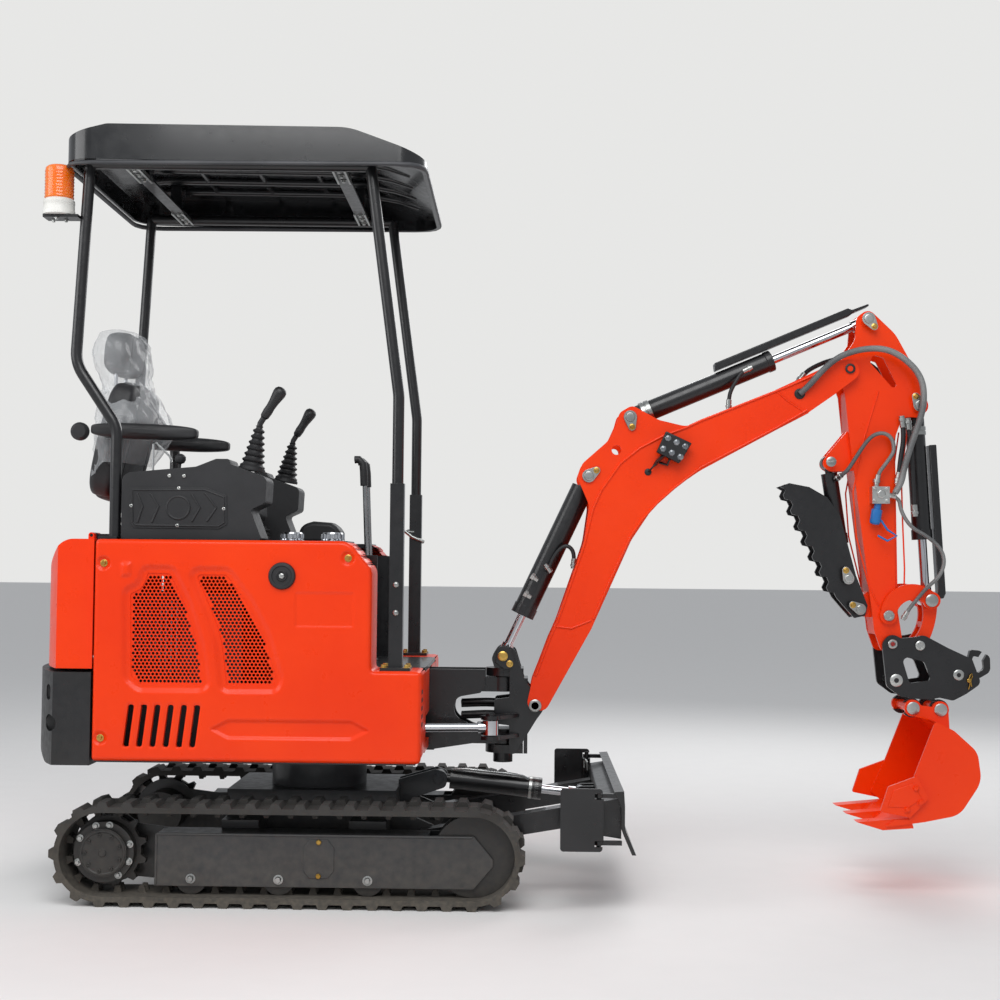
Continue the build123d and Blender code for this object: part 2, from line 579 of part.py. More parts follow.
def upper_frame():
    """Base plate of the slewing body with the boom's nose and its two lugs."""
    rear = PANEL_REAR_X + 6
    inner = HOUSE_HALF_WIDTH - PANEL_THICKNESS - GAP
    base = outline([(rear, HOUSE_BOTTOM_Z), (rear, HOUSE_BOTTOM_Z + BASE_PLATE),
                    (STEP_FRONT_X - 16, HOUSE_BOTTOM_Z + BASE_PLATE), (STEP_FRONT_X - 16, HOUSE_BOTTOM_Z)])
    body = across(base, -inner, inner)
    side = outline([
        (-200, HOUSE_BOTTOM_Z + 4), (-200, NOSE_TOP_Z - 120, 40), (FOOTWELL_REAR_X, NOSE_TOP_Z),
        (SWING_X - 58, NOSE_TOP_Z), (SWING_X - 58, NOSE_TOP_Z - 54, 8), (SWING_X - 72, NOSE_TOP_Z - 74, 8),
        (SWING_X - 150, NOSE_TOP_Z - 88, 30), (SWING_X - 160, NOSE_BOTTOM_Z + 90, 40),
        (SWING_X - 100, NOSE_BOTTOM_Z + 58, 20), (SWING_X - 66, NOSE_BOTTOM_Z + 46, 8),
        (SWING_X - 66, NOSE_BOTTOM_Z + 6, 6), (STEP_FRONT_X + 16, NOSE_BOTTOM_Z - 18)])
    plate = across(side, NOSE_HALF_WIDTH - 14, NOSE_HALF_WIDTH)
    body += both_sides(plate)
    reach = SWING_X - STEP_FRONT_X + 60
    lug = Pos(SWING_X, 0) * Circle(NOSE_LUG_RADIUS)
    lug += Pos(SWING_X - reach / 2, 0) * Rectangle(reach, 2 * NOSE_LUG_RADIUS - 8)
    lug -= Pos(SWING_X, 0) * Circle(SWING_PIN_RADIUS + PIN_FIT)
    body += upward(lug, NOSE_LUG_TOP_Z - NOSE_LUG, NOSE_LUG_TOP_Z)
    body += upward(lug, NOSE_BOTTOM_Z, NOSE_BOTTOM_Z + NOSE_LUG)
    hose_space = block(SWING_X - 146, SWING_X + 80, -NOSE_HALF_WIDTH + 14, NOSE_HALF_WIDTH - 14,
                       NOSE_BOTTOM_Z + NOSE_LUG, NOSE_LUG_TOP_Z - NOSE_LUG)
    body -= hose_space
    body += block(STEP_FRONT_X - 60, STEP_FRONT_X + 16, -NOSE_HALF_WIDTH + 8, NOSE_HALF_WIDTH - 8,
                  HOUSE_BOTTOM_Z, NOSE_BOTTOM_Z + 20)
    mount = rod_z(SWING_CYL_BASE[0], SWING_CYL_BASE[1], 26, HOUSE_BOTTOM_Z + BASE_PLATE - 1,
                  SWING_CYL_Z - EYE_HALF_WIDTH - SIDE_GAP)
    mount += rod_z(SWING_CYL_BASE[0], SWING_CYL_BASE[1], PIN_RADIUS,
                   HOUSE_BOTTOM_Z + BASE_PLATE, SWING_CYL_Z + EYE_HALF_WIDTH + 8)
    body += mount
    ring = Circle(SLEW_RADIUS - 2) - Circle(SLEW_RADIUS - 45)
    weight_plate = block(PANEL_REAR_X - 6 + GAP, rear + 10, -300, 300, HOUSE_BOTTOM_Z, HOUSE_BOTTOM_Z + 190)
    return body + upward(ring, SLEW_TOP_Z + GAP, HOUSE_BOTTOM_Z + 1) + weight_plate


def panel_outline(grow=0.0):
    """Side view of a body panel: the step low in front and the seat box behind it."""
    return outline([
        (PANEL_REAR_X - grow, HOUSE_BOTTOM_Z + 4 - grow, 12), (PANEL_REAR_X - grow, BOX_TOP_Z + grow, 14),
        (BOX_FRONT_X - 68, BOX_TOP_Z + grow, 60), (BOX_FRONT_X + grow, BOX_TOP_Z - 80, 40),
        (BOX_FRONT_X + grow, STEP_TOP_Z + grow, 10), (STEP_FRONT_X + grow, STEP_TOP_Z + grow, 14),
        (STEP_FRONT_X + grow, HOUSE_BOTTOM_Z + 4 - grow, 16)])


def louvre_slots():
    """Row of slanted slots low in the side panel."""
    slots = Sketch()
    for i in range(6):
        x = -475.0 + i * 39.0
        slots += make_face(Polyline((x - 8, 455), (x + 8, 455), (x + 22, 585), (x + 5, 585), close=True))
    return slots


def grille_openings():
    """Two sail-shaped openings in front of the radiator."""
    front = outline([
        (-500, 962, 12), (-432, 962, 12), (-388, 850, 90), (-368, 640, 12),
        (-500, 640, 12)])
    rear = outline([
        (-330, 958, 14), (-262, 958, 40), (-195, 840, 80), (-150, 640, 14), (-284, 640, 14),
        (-300, 780, 120)])
    return front + rear


def pressed(sketch, depth):
    """Form pressed into the left panel's outer face, with sloping sides."""
    return Pos(0, HOUSE_HALF_WIDTH, 0) * extrude(Plane.XZ * sketch, amount=depth, taper=PRESSED_SLOPE)


def panel_rib():
    """Long six-sided form low in the side panel."""
    x_low, x_high = RIB_X
    z = RIB_Z
    return outline([
        (x_low, z), (x_low + RIB_POINT, z + RIB_HALF_HEIGHT, 14), (x_high - RIB_POINT, z + RIB_HALF_HEIGHT, 14),
        (x_high, z), (x_high - RIB_POINT, z - RIB_HALF_HEIGHT, 14), (x_low + RIB_POINT, z - RIB_HALF_HEIGHT, 14)])


def side_panel(grilles):
    """Left body panel with its top, front and step faces turned inwards."""
    skin = across(panel_outline(), HOUSE_HALF_WIDTH - PANEL_THICKNESS, HOUSE_HALF_WIDTH)
    rim = panel_outline() - panel_outline(-PANEL_THICKNESS)
    wrap = across(rim, CONSOLE_INNER_Y, HOUSE_HALF_WIDTH)
    cut = block(PANEL_REAR_X - 5, BOX_FRONT_X - 60, CONSOLE_INNER_Y - 5, HOUSE_HALF_WIDTH - PANEL_THICKNESS,
                BOX_TOP_Z - 20, BOX_TOP_Z + 5)
    cut += block(PANEL_REAR_X - 5, STEP_FRONT_X - PANEL_THICKNESS, CONSOLE_INNER_Y - 5,
                 HOUSE_HALF_WIDTH - PANEL_THICKNESS, HOUSE_BOTTOM_Z - 2, HOUSE_BOTTOM_Z + 20)
    cut += block(PANEL_REAR_X - 5, PANEL_REAR_X + 30, CONSOLE_INNER_Y - 5,
                 HOUSE_HALF_WIDTH - PANEL_THICKNESS, HOUSE_BOTTOM_Z, BOX_TOP_Z + 5)
    panel = skin + (wrap - cut)
    outer = panel.faces().filter_by(Axis.Y).sort_by(Axis.Y)[-1]
    panel = fillet(outer.outer_wire().edges(), PANEL_EDGE_RADIUS)
    panel -= pressed(panel_rib(), RIB_DEPTH)
    for at in PANEL_BOLTS:
        panel -= pressed(disc(at, BOLT_DISH_RADIUS), BOLT_DISH_DEPTH)
    if grilles:
        panel -= pressed(offset(grille_openings(), amount=GRILLE_LEDGE), GRILLE_DEPTH)
        panel -= pressed(Pos(*BLANK_AT) * RectangleRounded(*BLANK_SIZE, 8), BLANK_DEPTH)
        panel -= across(grille_openings(), HOUSE_HALF_WIDTH - PANEL_THICKNESS - 2, HOUSE_HALF_WIDTH + 2)
    return panel - across(louvre_slots(), HOUSE_HALF_WIDTH - PANEL_THICKNESS - 2, HOUSE_HALF_WIDTH + 2)


def front_skirt():
    """Orange front of the body under the floor, open in the middle for the nose."""
    face = block(STEP_FRONT_X - PANEL_THICKNESS, STEP_FRONT_X, NOSE_HALF_WIDTH + 8, CONSOLE_INNER_Y - 1,
                 HOUSE_BOTTOM_Z + BASE_PLATE + GAP, STEP_TOP_Z - 14 - GAP)
    slot = block(STEP_FRONT_X - 20, STEP_FRONT_X + 5, NOSE_HALF_WIDTH + 5, -SWING_CYL_BASE[1],
                 SWING_CYL_Z - 42, SWING_CYL_Z + 42)
    return face - slot


def floor_plate():
    """Footwell floor, the walls round it and the deck under the seat."""
    top = BOX_TOP_Z
    inner = CONSOLE_INNER_Y - 2
    floor = block(FOOTWELL_REAR_X, STEP_FRONT_X - 2, -inner, inner, STEP_TOP_Z - 14, STEP_TOP_Z)
    back = block(FOOTWELL_REAR_X - 6, FOOTWELL_REAR_X, -inner, inner, STEP_TOP_Z - 14, top)
    walls = both_sides(block(FOOTWELL_REAR_X - 6, BOX_FRONT_X - 2, inner - 6, inner, STEP_TOP_Z - 14, top - 40))
    deck = block(PANEL_REAR_X + 8, FOOTWELL_REAR_X, -HOUSE_HALF_WIDTH + 14, HOUSE_HALF_WIDTH - 14,
                 top - 14, top)
    lids = block(FOOTWELL_REAR_X - 6, BOX_FRONT_X - 74, inner - 6, HOUSE_HALF_WIDTH - 14, top - 14, top)
    at = (HOOD_HINGE_X, HOOD_HINGE_Z)
    low = HOOD_HINGE_Y - HINGE_LUG / 2
    high = HOOD_HINGE_Y + HINGE_LUG / 2
    strap_end = PANEL_REAR_X + 18
    lug = rod_y(at, HINGE_RADIUS, low, high)
    lug += block(HOOD_HINGE_X, strap_end, low, high, HOOD_HINGE_Z - 7, HOOD_HINGE_Z + 5)
    lug += block(strap_end - 10, strap_end, low, high, top - 4, HOOD_HINGE_Z + 5)
    lug += rod_y(at, HINGE_PIN, low - HINGE_LUG, high + HINGE_LUG)
    return floor + back + walls + deck + both_sides(lids + lug)


def rear_hood():
    """Hinged rear engine cover, a rounded shell open at the front and below."""
    def shell(grow, low):
        arc = make_face(Line((PANEL_REAR_X - 6, HOOD_HALF_WIDTH + grow),
                             (PANEL_REAR_X - 6, -HOOD_HALF_WIDTH - grow))
                        + Line((PANEL_REAR_X - 6, -HOOD_HALF_WIDTH - grow),
                               (HOOD_REAR_X + 45, -HOOD_HALF_WIDTH - grow))
                        + ThreePointArc((HOOD_REAR_X + 45, -HOOD_HALF_WIDTH - grow),
                                        (WEIGHT_REAR_X + 24 - grow, 0),
                                        (HOOD_REAR_X + 45, HOOD_HALF_WIDTH + grow))
                        + Line((HOOD_REAR_X + 45, HOOD_HALF_WIDTH + grow),
                               (PANEL_REAR_X - 6, HOOD_HALF_WIDTH + grow)))
        body = upward(arc, low, BOX_TOP_Z + grow)
        side = outline([
            (PANEL_REAR_X - 6, low), (PANEL_REAR_X - 6, BOX_TOP_Z + grow),
            (PANEL_REAR_X - 90, BOX_TOP_Z + grow, 60), (WEIGHT_REAR_X - 20, BOX_TOP_Z - 160, 200),
            (WEIGHT_REAR_X - 20, low)])
        return body & across(side, -HOUSE_HALF_WIDTH - 20, HOUSE_HALF_WIDTH + 20)
    outer = shell(0.0, HOOD_BOTTOM_Z)
    inner = shell(-10.0, HOOD_BOTTOM_Z - 5)
    hood = outer - Pos(20, 0, 0) * inner
    at = (HOOD_HINGE_X, HOOD_HINGE_Z)
    for side in (-1, 1):
        middle = HOOD_HINGE_Y + side * (HINGE_LUG + SIDE_GAP)
        low = middle - HINGE_LUG / 2
        high = middle + HINGE_LUG / 2
        knuckle = rod_y(at, HINGE_RADIUS, low, high)
        knuckle += block(at[0] - HINGE_RADIUS, at[0] + HINGE_RADIUS, low, high, BOX_TOP_Z - 4, at[1])
        hood += both_sides(knuckle - rod_y(at, HINGE_PIN + PIN_FIT, low - 1, high + 1))
    return hood


def counterweight():
    """Cast counterweight with a rounded back and a deep recess on each side."""
    def plan(grow):
        return make_face(Line((PANEL_REAR_X - 6, HOOD_HALF_WIDTH + 8), (PANEL_REAR_X - 6, -HOOD_HALF_WIDTH - 8))
                         + Line((PANEL_REAR_X - 6, -HOOD_HALF_WIDTH - 8),
                                (HOOD_REAR_X + 40, -HOOD_HALF_WIDTH - 8))
                         + ThreePointArc((HOOD_REAR_X + 40, -HOOD_HALF_WIDTH - 8), (WEIGHT_REAR_X, 0),
                                         (HOOD_REAR_X + 40, HOOD_HALF_WIDTH + 8))
                         + Line((HOOD_REAR_X + 40, HOOD_HALF_WIDTH + 8),
                                (PANEL_REAR_X - 6, HOOD_HALF_WIDTH + 8)))
    body = upward(plan(0), WEIGHT_BOTTOM_Z, WEIGHT_TOP_Z)
    side = outline([
        (PANEL_REAR_X - 6, WEIGHT_BOTTOM_Z), (PANEL_REAR_X - 6, WEIGHT_TOP_Z),
        (WEIGHT_REAR_X - 5, WEIGHT_TOP_Z), (WEIGHT_REAR_X - 5, WEIGHT_BOTTOM_Z + 60, 30),
        (WEIGHT_REAR_X + 90, WEIGHT_BOTTOM_Z, 30)])
    body = body & across(side, -HOUSE_HALF_WIDTH - 5, HOUSE_HALF_WIDTH + 5)
    low = HOUSE_HALF_WIDTH - WEIGHT_HOLE_DEPTH
    round_hole = across(disc(WEIGHT_ROUND_HOLE, WEIGHT_HOLE_RADIUS), low, HOUSE_HALF_WIDTH)
    oval = Pos(*WEIGHT_OVAL_HOLE) * SlotOverall(*WEIGHT_OVAL_SIZE, rotation=90)
    return body - both_sides(round_hole + across(oval, low, HOUSE_HALF_WIDTH))


def engine_block():
    """Engine as one plain block at its real place and size."""
    rear = PANEL_REAR_X + 16 + GAP
    return block(rear, -215, -230, 200, HOUSE_BOTTOM_Z + BASE_PLATE + GAP, 900)


def seat():
    """Seat cushion, back and armrests on one seat frame."""
    base = block(PANEL_REAR_X + 2, -200, -SEAT_HALF_WIDTH, SEAT_HALF_WIDTH, BOX_TOP_Z + GAP, BOX_TOP_Z + 60)
    cushion = across(outline([(-620, BOX_TOP_Z + 60, 10), (-640, BOX_TOP_Z + 150, 30),
                              (-200, BOX_TOP_Z + 175, 50), (-190, BOX_TOP_Z + 60, 20)]),
                     -SEAT_HALF_WIDTH, SEAT_HALF_WIDTH)
    back = across(outline([(-640, BOX_TOP_Z + 120, 20), (-735, BOX_TOP_Z + 376, 20), (-725, BOX_TOP_Z + 496, 50),
                           (-640, BOX_TOP_Z + 506, 40), (-560, BOX_TOP_Z + 150, 30)]),
                  -SEAT_HALF_WIDTH + 15, SEAT_HALF_WIDTH - 15)
    return base + cushion + back


def headrest():
    """Headrest on its two stems."""
    pad = across(outline([(-690, BOX_TOP_Z + 526, 25), (-705, BOX_TOP_Z + 671, 35), (-610, BOX_TOP_Z + 666, 40),
                         (-600, BOX_TOP_Z + 536, 30)]), -130, 130)
    return pad + both_sides(rod_z(-665, 60, 6, BOX_TOP_Z + 502.4, BOX_TOP_Z + 536))


def armrest():
    """Left armrest on its pivot bracket."""
    pad = across(outline([(-690, BOX_TOP_Z + 311, 20), (-690, BOX_TOP_Z + 361, 20), (-350, BOX_TOP_Z + 336, 18),
                          (-350, BOX_TOP_Z + 304, 12)]), 225, 285)
    return pad + rod_y((-655, BOX_TOP_Z + 336), 14, SEAT_HALF_WIDTH - 15 + GAP, 226)


def console():
    """Left control console with its joystick pedestal."""
    body = across(outline([
        (-550, BOX_TOP_Z + GAP), (-550, BOX_TOP_Z + 198, 30), (-330, BOX_TOP_Z + 218, 30),
        (-270, BOX_TOP_Z + 242, 16), (-232, BOX_TOP_Z + 242, 8), (-226, BOX_TOP_Z + 226, 4),
        (-118, BOX_TOP_Z + 187, 20), (-122, BOX_TOP_Z + 111, 15), (-165, BOX_TOP_Z + 91, 10), (-130, BOX_TOP_Z + GAP, 6)]),
        CONSOLE_INNER_Y + 4, CONSOLE_OUTER_Y)
    return body


def joystick():
    """Left joystick with its bellows."""
    boot = Pos(-176, 332, BOX_TOP_Z + 208) * Rot(0, 19.9, 0)
    lever = boot * Pos(0, 0, 60) * Cone(34, 14, 120)
    grip = boot * Pos(0, 0, 175) * Cylinder(14, 130)
    return lever + grip


def travel_levers():
    """Two travel levers on the footwell floor."""
    parts = []
    for y in (-52.0, 52.0):
        lever = bent_tube([(150, y, STEP_TOP_Z + GAP), (150, y, 900), (133, y, 1330)], 120, 7)
        grip = Pos(133 + 2, y, 1290) * Rot(0, -2, 0) * Cylinder(16, 90)
        foot = rod_z(150, y, 26, STEP_TOP_Z + GAP, STEP_TOP_Z + 16)
        parts.append(lever + grip + foot)
    return parts


def canopy_frame():
    """Four posts: bent rear pair, leaning front pair, and the roof rails."""
    z_low = STEP_TOP_Z + GAP
    rear = bent_tube([(-572, POST_Y, BOX_TOP_Z + GAP), (-572, POST_Y, 1400), (-700, POST_Y, 1590),
                      (-668, POST_Y, 2195)], [90, 120], POST_RADIUS)
    front = bent_tube([(271, POST_Y, z_low + 10), (271, POST_Y, 1500), (178, POST_Y, 2190)],
                      [160], POST_RADIUS)
    rail = bent_tube([(-668, POST_Y, 2195), (178, POST_Y, 2190)], [], POST_RADIUS)
    sleeve = block(271 - SLEEVE_HALF, 271 + SLEEVE_HALF, POST_Y - SLEEVE_HALF, POST_Y + SLEEVE_HALF,
                   z_low + 8, SLEEVE_TOP_Z)
    foot = block(228, 317, POST_Y - 45, POST_Y + 45, z_low, z_low + 8)
    rear_foot = block(PANEL_REAR_X + 2, -556, POST_Y - 40, POST_Y + 40, BOX_TOP_Z + GAP, BOX_TOP_Z + 8)
    side = rear + front + rail + sleeve + foot + rear_foot
    frame = both_sides(side)
    for x in ROOF_BEAM_X:
        frame += block(x - 20, x + 20, -POST_Y, POST_Y, ROOF_BEAM_Z, ROOF_BEAM_Z + 8)
    return frame


def canopy_roof():
    """Moulded roof: a hollow shell with rounded corners and a drooping front."""
    def form(inset):
        length = ROOF_FRONT_X - ROOF_REAR_X - 2 * inset
        plan = RectangleRounded(length, 2 * (ROOF_HALF_WIDTH - inset), 90 - inset)
        body = upward(Pos((ROOF_FRONT_X + ROOF_REAR_X) / 2, 0) * plan, ROOF_LIP_Z - 1, ROOF_TOP_Z)
        side = outline([
            (ROOF_REAR_X - 5, ROOF_LIP_Z + 20 - inset), (ROOF_REAR_X - 5, 2262 - inset, 30),
            (-600, ROOF_TOP_Z - inset, 60), (120, ROOF_TOP_Z - 8 - inset, 200),
            (ROOF_FRONT_X + 5, 2204 - inset, 20), (ROOF_FRONT_X + 5, ROOF_LIP_Z - inset)])
        return body & across(side, -ROOF_HALF_WIDTH - 5, ROOF_HALF_WIDTH + 5)
    shell = form(0.0) - form(ROOF_SHELL)
    for x in ROOF_BEAM_X:
        boss = block(x - 18, x + 18, 190, 250, ROOF_BEAM_Z + 8 + GAP, ROOF_TOP_Z - ROOF_SHELL)
        shell += both_sides(boss)
    return shell


def beacon():
    """Rotating beacon on its bracket at the rear post."""
    at = (-760, -POST_Y)
    body = rod_z(at[0], at[1], 48, 2035, 2085) + rod_z(at[0], at[1], 44, 2085, 2187)
    plate = block(-800, -694.3, -POST_Y - 30, -POST_Y + 30, 2026, 2034.7)
    return body, plate


# Boom swing post

def swing_post():
    """Post that carries the boom: jaws round the nose's lugs between two plates."""
    a = BOOM_FOOT
    m = BOOM_CYL_ROD
    bottom = NOSE_BOTTOM_Z - SIDE_GAP - JAW_THICKNESS
    top = NOSE_LUG_TOP_Z + SIDE_GAP + JAW_THICKNESS
    front = SWING_X + 20
    rear = SWING_X - 28
    side = outline([
        (front, bottom, 6), (front, NOSE_BOTTOM_Z + 60, 4), (rear, NOSE_BOTTOM_Z + 66, 10),
        (rear, NOSE_LUG_TOP_Z - 68, 10), (front, NOSE_LUG_TOP_Z - 62, 4), (front, NOSE_TOP_Z + 7, 4),
        (rear, NOSE_TOP_Z + 7, 6), (m[0] - 36, m[1] - 6, 20),
        (m[0] - 6, m[1] + 44, 34), (m[0] + 40, m[1] + 20, 24), (652, 640, 30), (a[0] - 12, a[1] + 52, 20),
        (a[0] + 40, a[1] + 4, 38), (a[0] + 4, a[1] - 46, 30), (SWING_X + 40, bottom, 14)])
    plates = both_sides(across(side, POST_PLATE_Y, POST_PLATE_Y + POST_PLATE))
    jaw = Pos(SWING_X, 0) * Circle(JAW_RADIUS) + Pos(SWING_X + 32, 0) * Rectangle(
        64, 2 * POST_PLATE_Y + 4)
    body = plates + upward(jaw, bottom, bottom + JAW_THICKNESS)
    body += upward(jaw, top - JAW_THICKNESS, top)
    web = block(SWING_X + 66, SWING_X + 78, -POST_PLATE_Y - 2, POST_PLATE_Y + 2, bottom, 640)
    body += web
    pin = rod_z(SWING_X, 0, SWING_PIN_RADIUS, NOSE_LUG_TOP_Z - NOSE_LUG, top + 6)
    pin += rod_z(SWING_X, 0, SWING_PIN_RADIUS, bottom - 4, NOSE_BOTTOM_Z + NOSE_LUG)
    pin += rod_z(SWING_X, 0, SWING_PIN_RADIUS + 6, bottom - 32, bottom)
    body += pin
    eye_x, eye_y = SWING_CYL_EYE
    ear = Pos(eye_x, eye_y) * Circle(SWING_EAR_RADIUS) + make_face(Polyline(
        (eye_x - SWING_EAR_RADIUS + 6, eye_y + 15), (eye_x + SWING_EAR_RADIUS, eye_y - 6),
        (SWING_X + 60, -POST_PLATE_Y - 2), (front, -POST_PLATE_Y - 2), close=True))
    gap = EYE_HALF_WIDTH + SIDE_GAP
    body += upward(ear, SWING_CYL_Z + gap, SWING_CYL_Z + gap + 12)
    body += upward(ear, SWING_CYL_Z - gap - 12, SWING_CYL_Z - gap)
    body += rod_z(eye_x, eye_y, PIN_RADIUS, SWING_CYL_Z + gap, SWING_CYL_Z + gap + 18)
    rod_pin = POST_PLATE_Y + POST_PLATE
    body += rod_y(m, PIN_RADIUS + 6, EYE_HALF_WIDTH + SIDE_GAP, rod_pin + 3)
    body += rod_y(m, PIN_RADIUS + 6, -rod_pin - 3, -EYE_HALF_WIDTH - SIDE_GAP)
    body += rod_y(a, PIN_RADIUS, -BOOM_HALF_WIDTH - 4, BOOM_HALF_WIDTH + 4)
    return body


# Boom, arm and thumb

def boom():
    """Box-section boom: two side plates with the top and bottom plates between them."""
    a = BOOM_FOOT
    b = BOOM_CYL_BASE
    c = ARM_CYL_BASE
    d = ARM_PIVOT
    side = outline([
        (a[0] - 31, a[1] - 20, 28), (677, 636, 60), (754, 830, 30), (837, 1073, 200), (853, 1190, 60),
        (b[0] - 36, b[1] - 6, 28), (b[0] - 20, b[1] + 40, 28), (914, 1396, 80), (938, 1450, 30),
        (c[0] - 34, c[1] + 14, 26), (c[0] + 6, c[1] + 38, 26), (1070, 1462, 60), (1160, 1441, 60),
        (1400, 1541, 300), (d[0] - 34, d[1] + 26, 20), (d[0] + 18, d[1] + 32, 30), (d[0] + 34, d[1] - 18, 30),
        (d[0] - 46, d[1] - 80, 40), (1540, 1486, 60), (1201, 1301, 300), (1075, 1212, 160),
        (983, 1080, 120), (863, 800, 30), (a[0] + 34, a[1] - 14, 30)])
    side -= disc(a, PIN_RADIUS + PIN_FIT)
    side -= disc(d, PIN_RADIUS + PIN_FIT)
    side -= disc(LIFTING_EYE, LIFTING_EYE_RADIUS)
    y = BOOM_HALF_WIDTH
    body = both_sides(across(side, y - BOOM_SIDE, y))
    box = outline([
        (757, 830), (848, 1075, 260), (905, 1262, 160), (1040, 1395, 160), (1190, 1455, 300), (1530, 1592),
        (1546, 1488), (1201, 1305, 300), (1078, 1218, 160), (987, 1080, 120), (866, 806)])
    hollow = offset(box, amount=-BOOM_WEB)
    hollow += mouth((757, 830), (866, 806), BOOM_WEB)
    hollow += mouth((1530, 1592), (1546, 1488), BOOM_WEB)
    body += across(box - hollow, -y + BOOM_SIDE - 1, y - BOOM_SIDE + 1)
    for pin in (b, c):
        gap = EYE_HALF_WIDTH + SIDE_GAP
        body += both_sides(rod_y(pin, PIN_RADIUS + 8, gap, y + 3))
    body += rod_y(b, PIN_RADIUS, -y, y)
    body += rod_y(c, PIN_RADIUS, -y, y)
    return body


def arm():
    """Box-section arm with the lever plates at its top and the thumb's bracket."""
    d = ARM_PIVOT
    e = ARM_CYL_ROD
    f = BUCKET_CYL_BASE
    g = ROCKER_PIVOT
    h = BUCKET_PIVOT
    side = outline([
        (d[0] - 32, d[1] - 20, 28), (d[0] - 20, d[1] + 34, 28), (1695, 1722, 30), (e[0] - 34, e[1] + 8, 24),
        (e[0] + 4, e[1] + 36, 26), (1824, 1744, 120), (1900, 1605, 120), (f[0] + 36, f[1] - 8, 28),
        (f[0] + 6, f[1] - 38, 28), (1846, 1480, 30), (1818, 1400, 40), (1824, g[1] + 40, 30),
        (g[0] + 34, g[1], 20), (h[0] + 34, h[1] + 20, 30), (h[0] + 24, h[1] - 26, 24), (h[0] - 30, h[1] - 26, 24),
        (1757, 800, 30), (1676, 1434, 30), (1664, 1550, 30)])
    window = outline([(1752, 1678, 12), (1786, 1668, 12), (1829, 1578, 8), (1815, 1572, 8), (1744, 1652, 8)])
    side -= window
    side -= disc(h, PIN_RADIUS + PIN_FIT)
    y = ARM_HALF_WIDTH
    body = both_sides(across(side, y - ARM_SIDE, y))
    box = outline([(1668, 1560), (1676, 1434), (1760, 790), (1834, 790), (1824, 1400), (1846, 1560)])
    hollow = offset(box, amount=-ARM_SIDE) + mouth((1760, 790), (1834, 790), ARM_SIDE)
    hollow += mouth((1846, 1560), (1668, 1560), ARM_SIDE)
    body += across(box - hollow, -y + ARM_SIDE - 1, y - ARM_SIDE + 1)
    wide = BOOM_HALF_WIDTH - BOOM_SIDE - SIDE_GAP
    body += rod_y(d, PIN_RADIUS + 14, -wide, wide)
    body += rod_y(d, PIN_RADIUS, -BOOM_HALF_WIDTH - 4, BOOM_HALF_WIDTH + 4)
    gap = EYE_HALF_WIDTH + SIDE_GAP
    body += both_sides(rod_y(e, PIN_RADIUS + 6, gap, y + 4))
    body += both_sides(rod_y(f, PIN_RADIUS + 8, gap, y + 4))
    body += rod_y(f, PIN_RADIUS, -gap, gap)
    reach = y + SIDE_GAP + ROCKER_PLATE + 4
    body += rod_y(g, PIN_RADIUS, -reach, reach)
    body += rod_y(h, PIN_RADIUS + 8, -y + 2, y - 2) - rod_y(h, PIN_RADIUS + PIN_FIT, -y, y)
    t = THUMB_CYL_BASE
    p = THUMB_PIVOT
    upper = outline([(1690, 1452), (t[0] - 4, t[1] + 28, 22), (t[0] - 29, t[1] - 8, 22),
                     (t[0] + 4, t[1] - 30, 22), (1706, 1310)])
    lower = outline([(1752, 930), (p[0] - 22, p[1] + 24, 18), (p[0] - 24, p[1] - 20, 20), (1764, 842)])
    gap_t = THUMB_EYE_HALF + SIDE_GAP
    body += both_sides(across(upper, gap_t, gap_t + 12))
    body += both_sides(rod_y(t, 10, gap_t, gap_t + 26))
    body += across(lower, -THUMB_INNER_Y + SIDE_GAP, THUMB_INNER_Y - SIDE_GAP)
    body += rod_y(t, THUMB_CYL_PIN, -gap_t, gap_t)
    body += rod_y(p, THUMB_PIN, -THUMB_INNER_Y - 16, THUMB_INNER_Y + 16)
    return body


def thumb():
    """Thumb: two toothed plates joined by a spine, on the pivot at the arm's foot."""
    p = THUMB_PIVOT
    root = (1480.0, 1246.0)
    foot = (1640.0, 905.0)
    count = 7
    edge = []
    for i in range(count):
        t0 = i / count
        t1 = (i + 0.5) / count
        for t, out in ((t0, 0.0), (t0 + 0.25 / count, 14.0), (t1, 14.0), (t1 + 0.2 / count, 0.0)):
            x = root[0] + t * (foot[0] - root[0]) - out
            z = root[1] + t * (foot[1] - root[1]) - out * 0.4
            edge.append((x, z))
    profile = make_face(Polyline(
        *edge, foot, (p[0] - 36, p[1] - 6), (p[0] - 16, p[1] - 28), (p[0] + 18, p[1] - 20),
        (p[0] + 26, p[1] + 12), (THUMB_CYL_ROD[0] + 26, THUMB_CYL_ROD[1] + 12), (1652, 1165), (1612, 1222),
        (1554, 1255), (1490, 1267), (1462, 1256), close=True))
    profile -= disc(p, THUMB_PIN + PIN_FIT)
    y = THUMB_INNER_Y
    body = both_sides(across(profile, y, y + THUMB_PLATE))
    spine = make_face(Polyline((1492, 1242), (1500, 1246), (1655, 915), (1647, 911), close=True))
    body += across(spine, -y - 1, y + 1)
    gap = THUMB_EYE_HALF + SIDE_GAP
    return body + both_sides(rod_y(THUMB_CYL_ROD, 16, gap, y + THUMB_PLATE + 4))


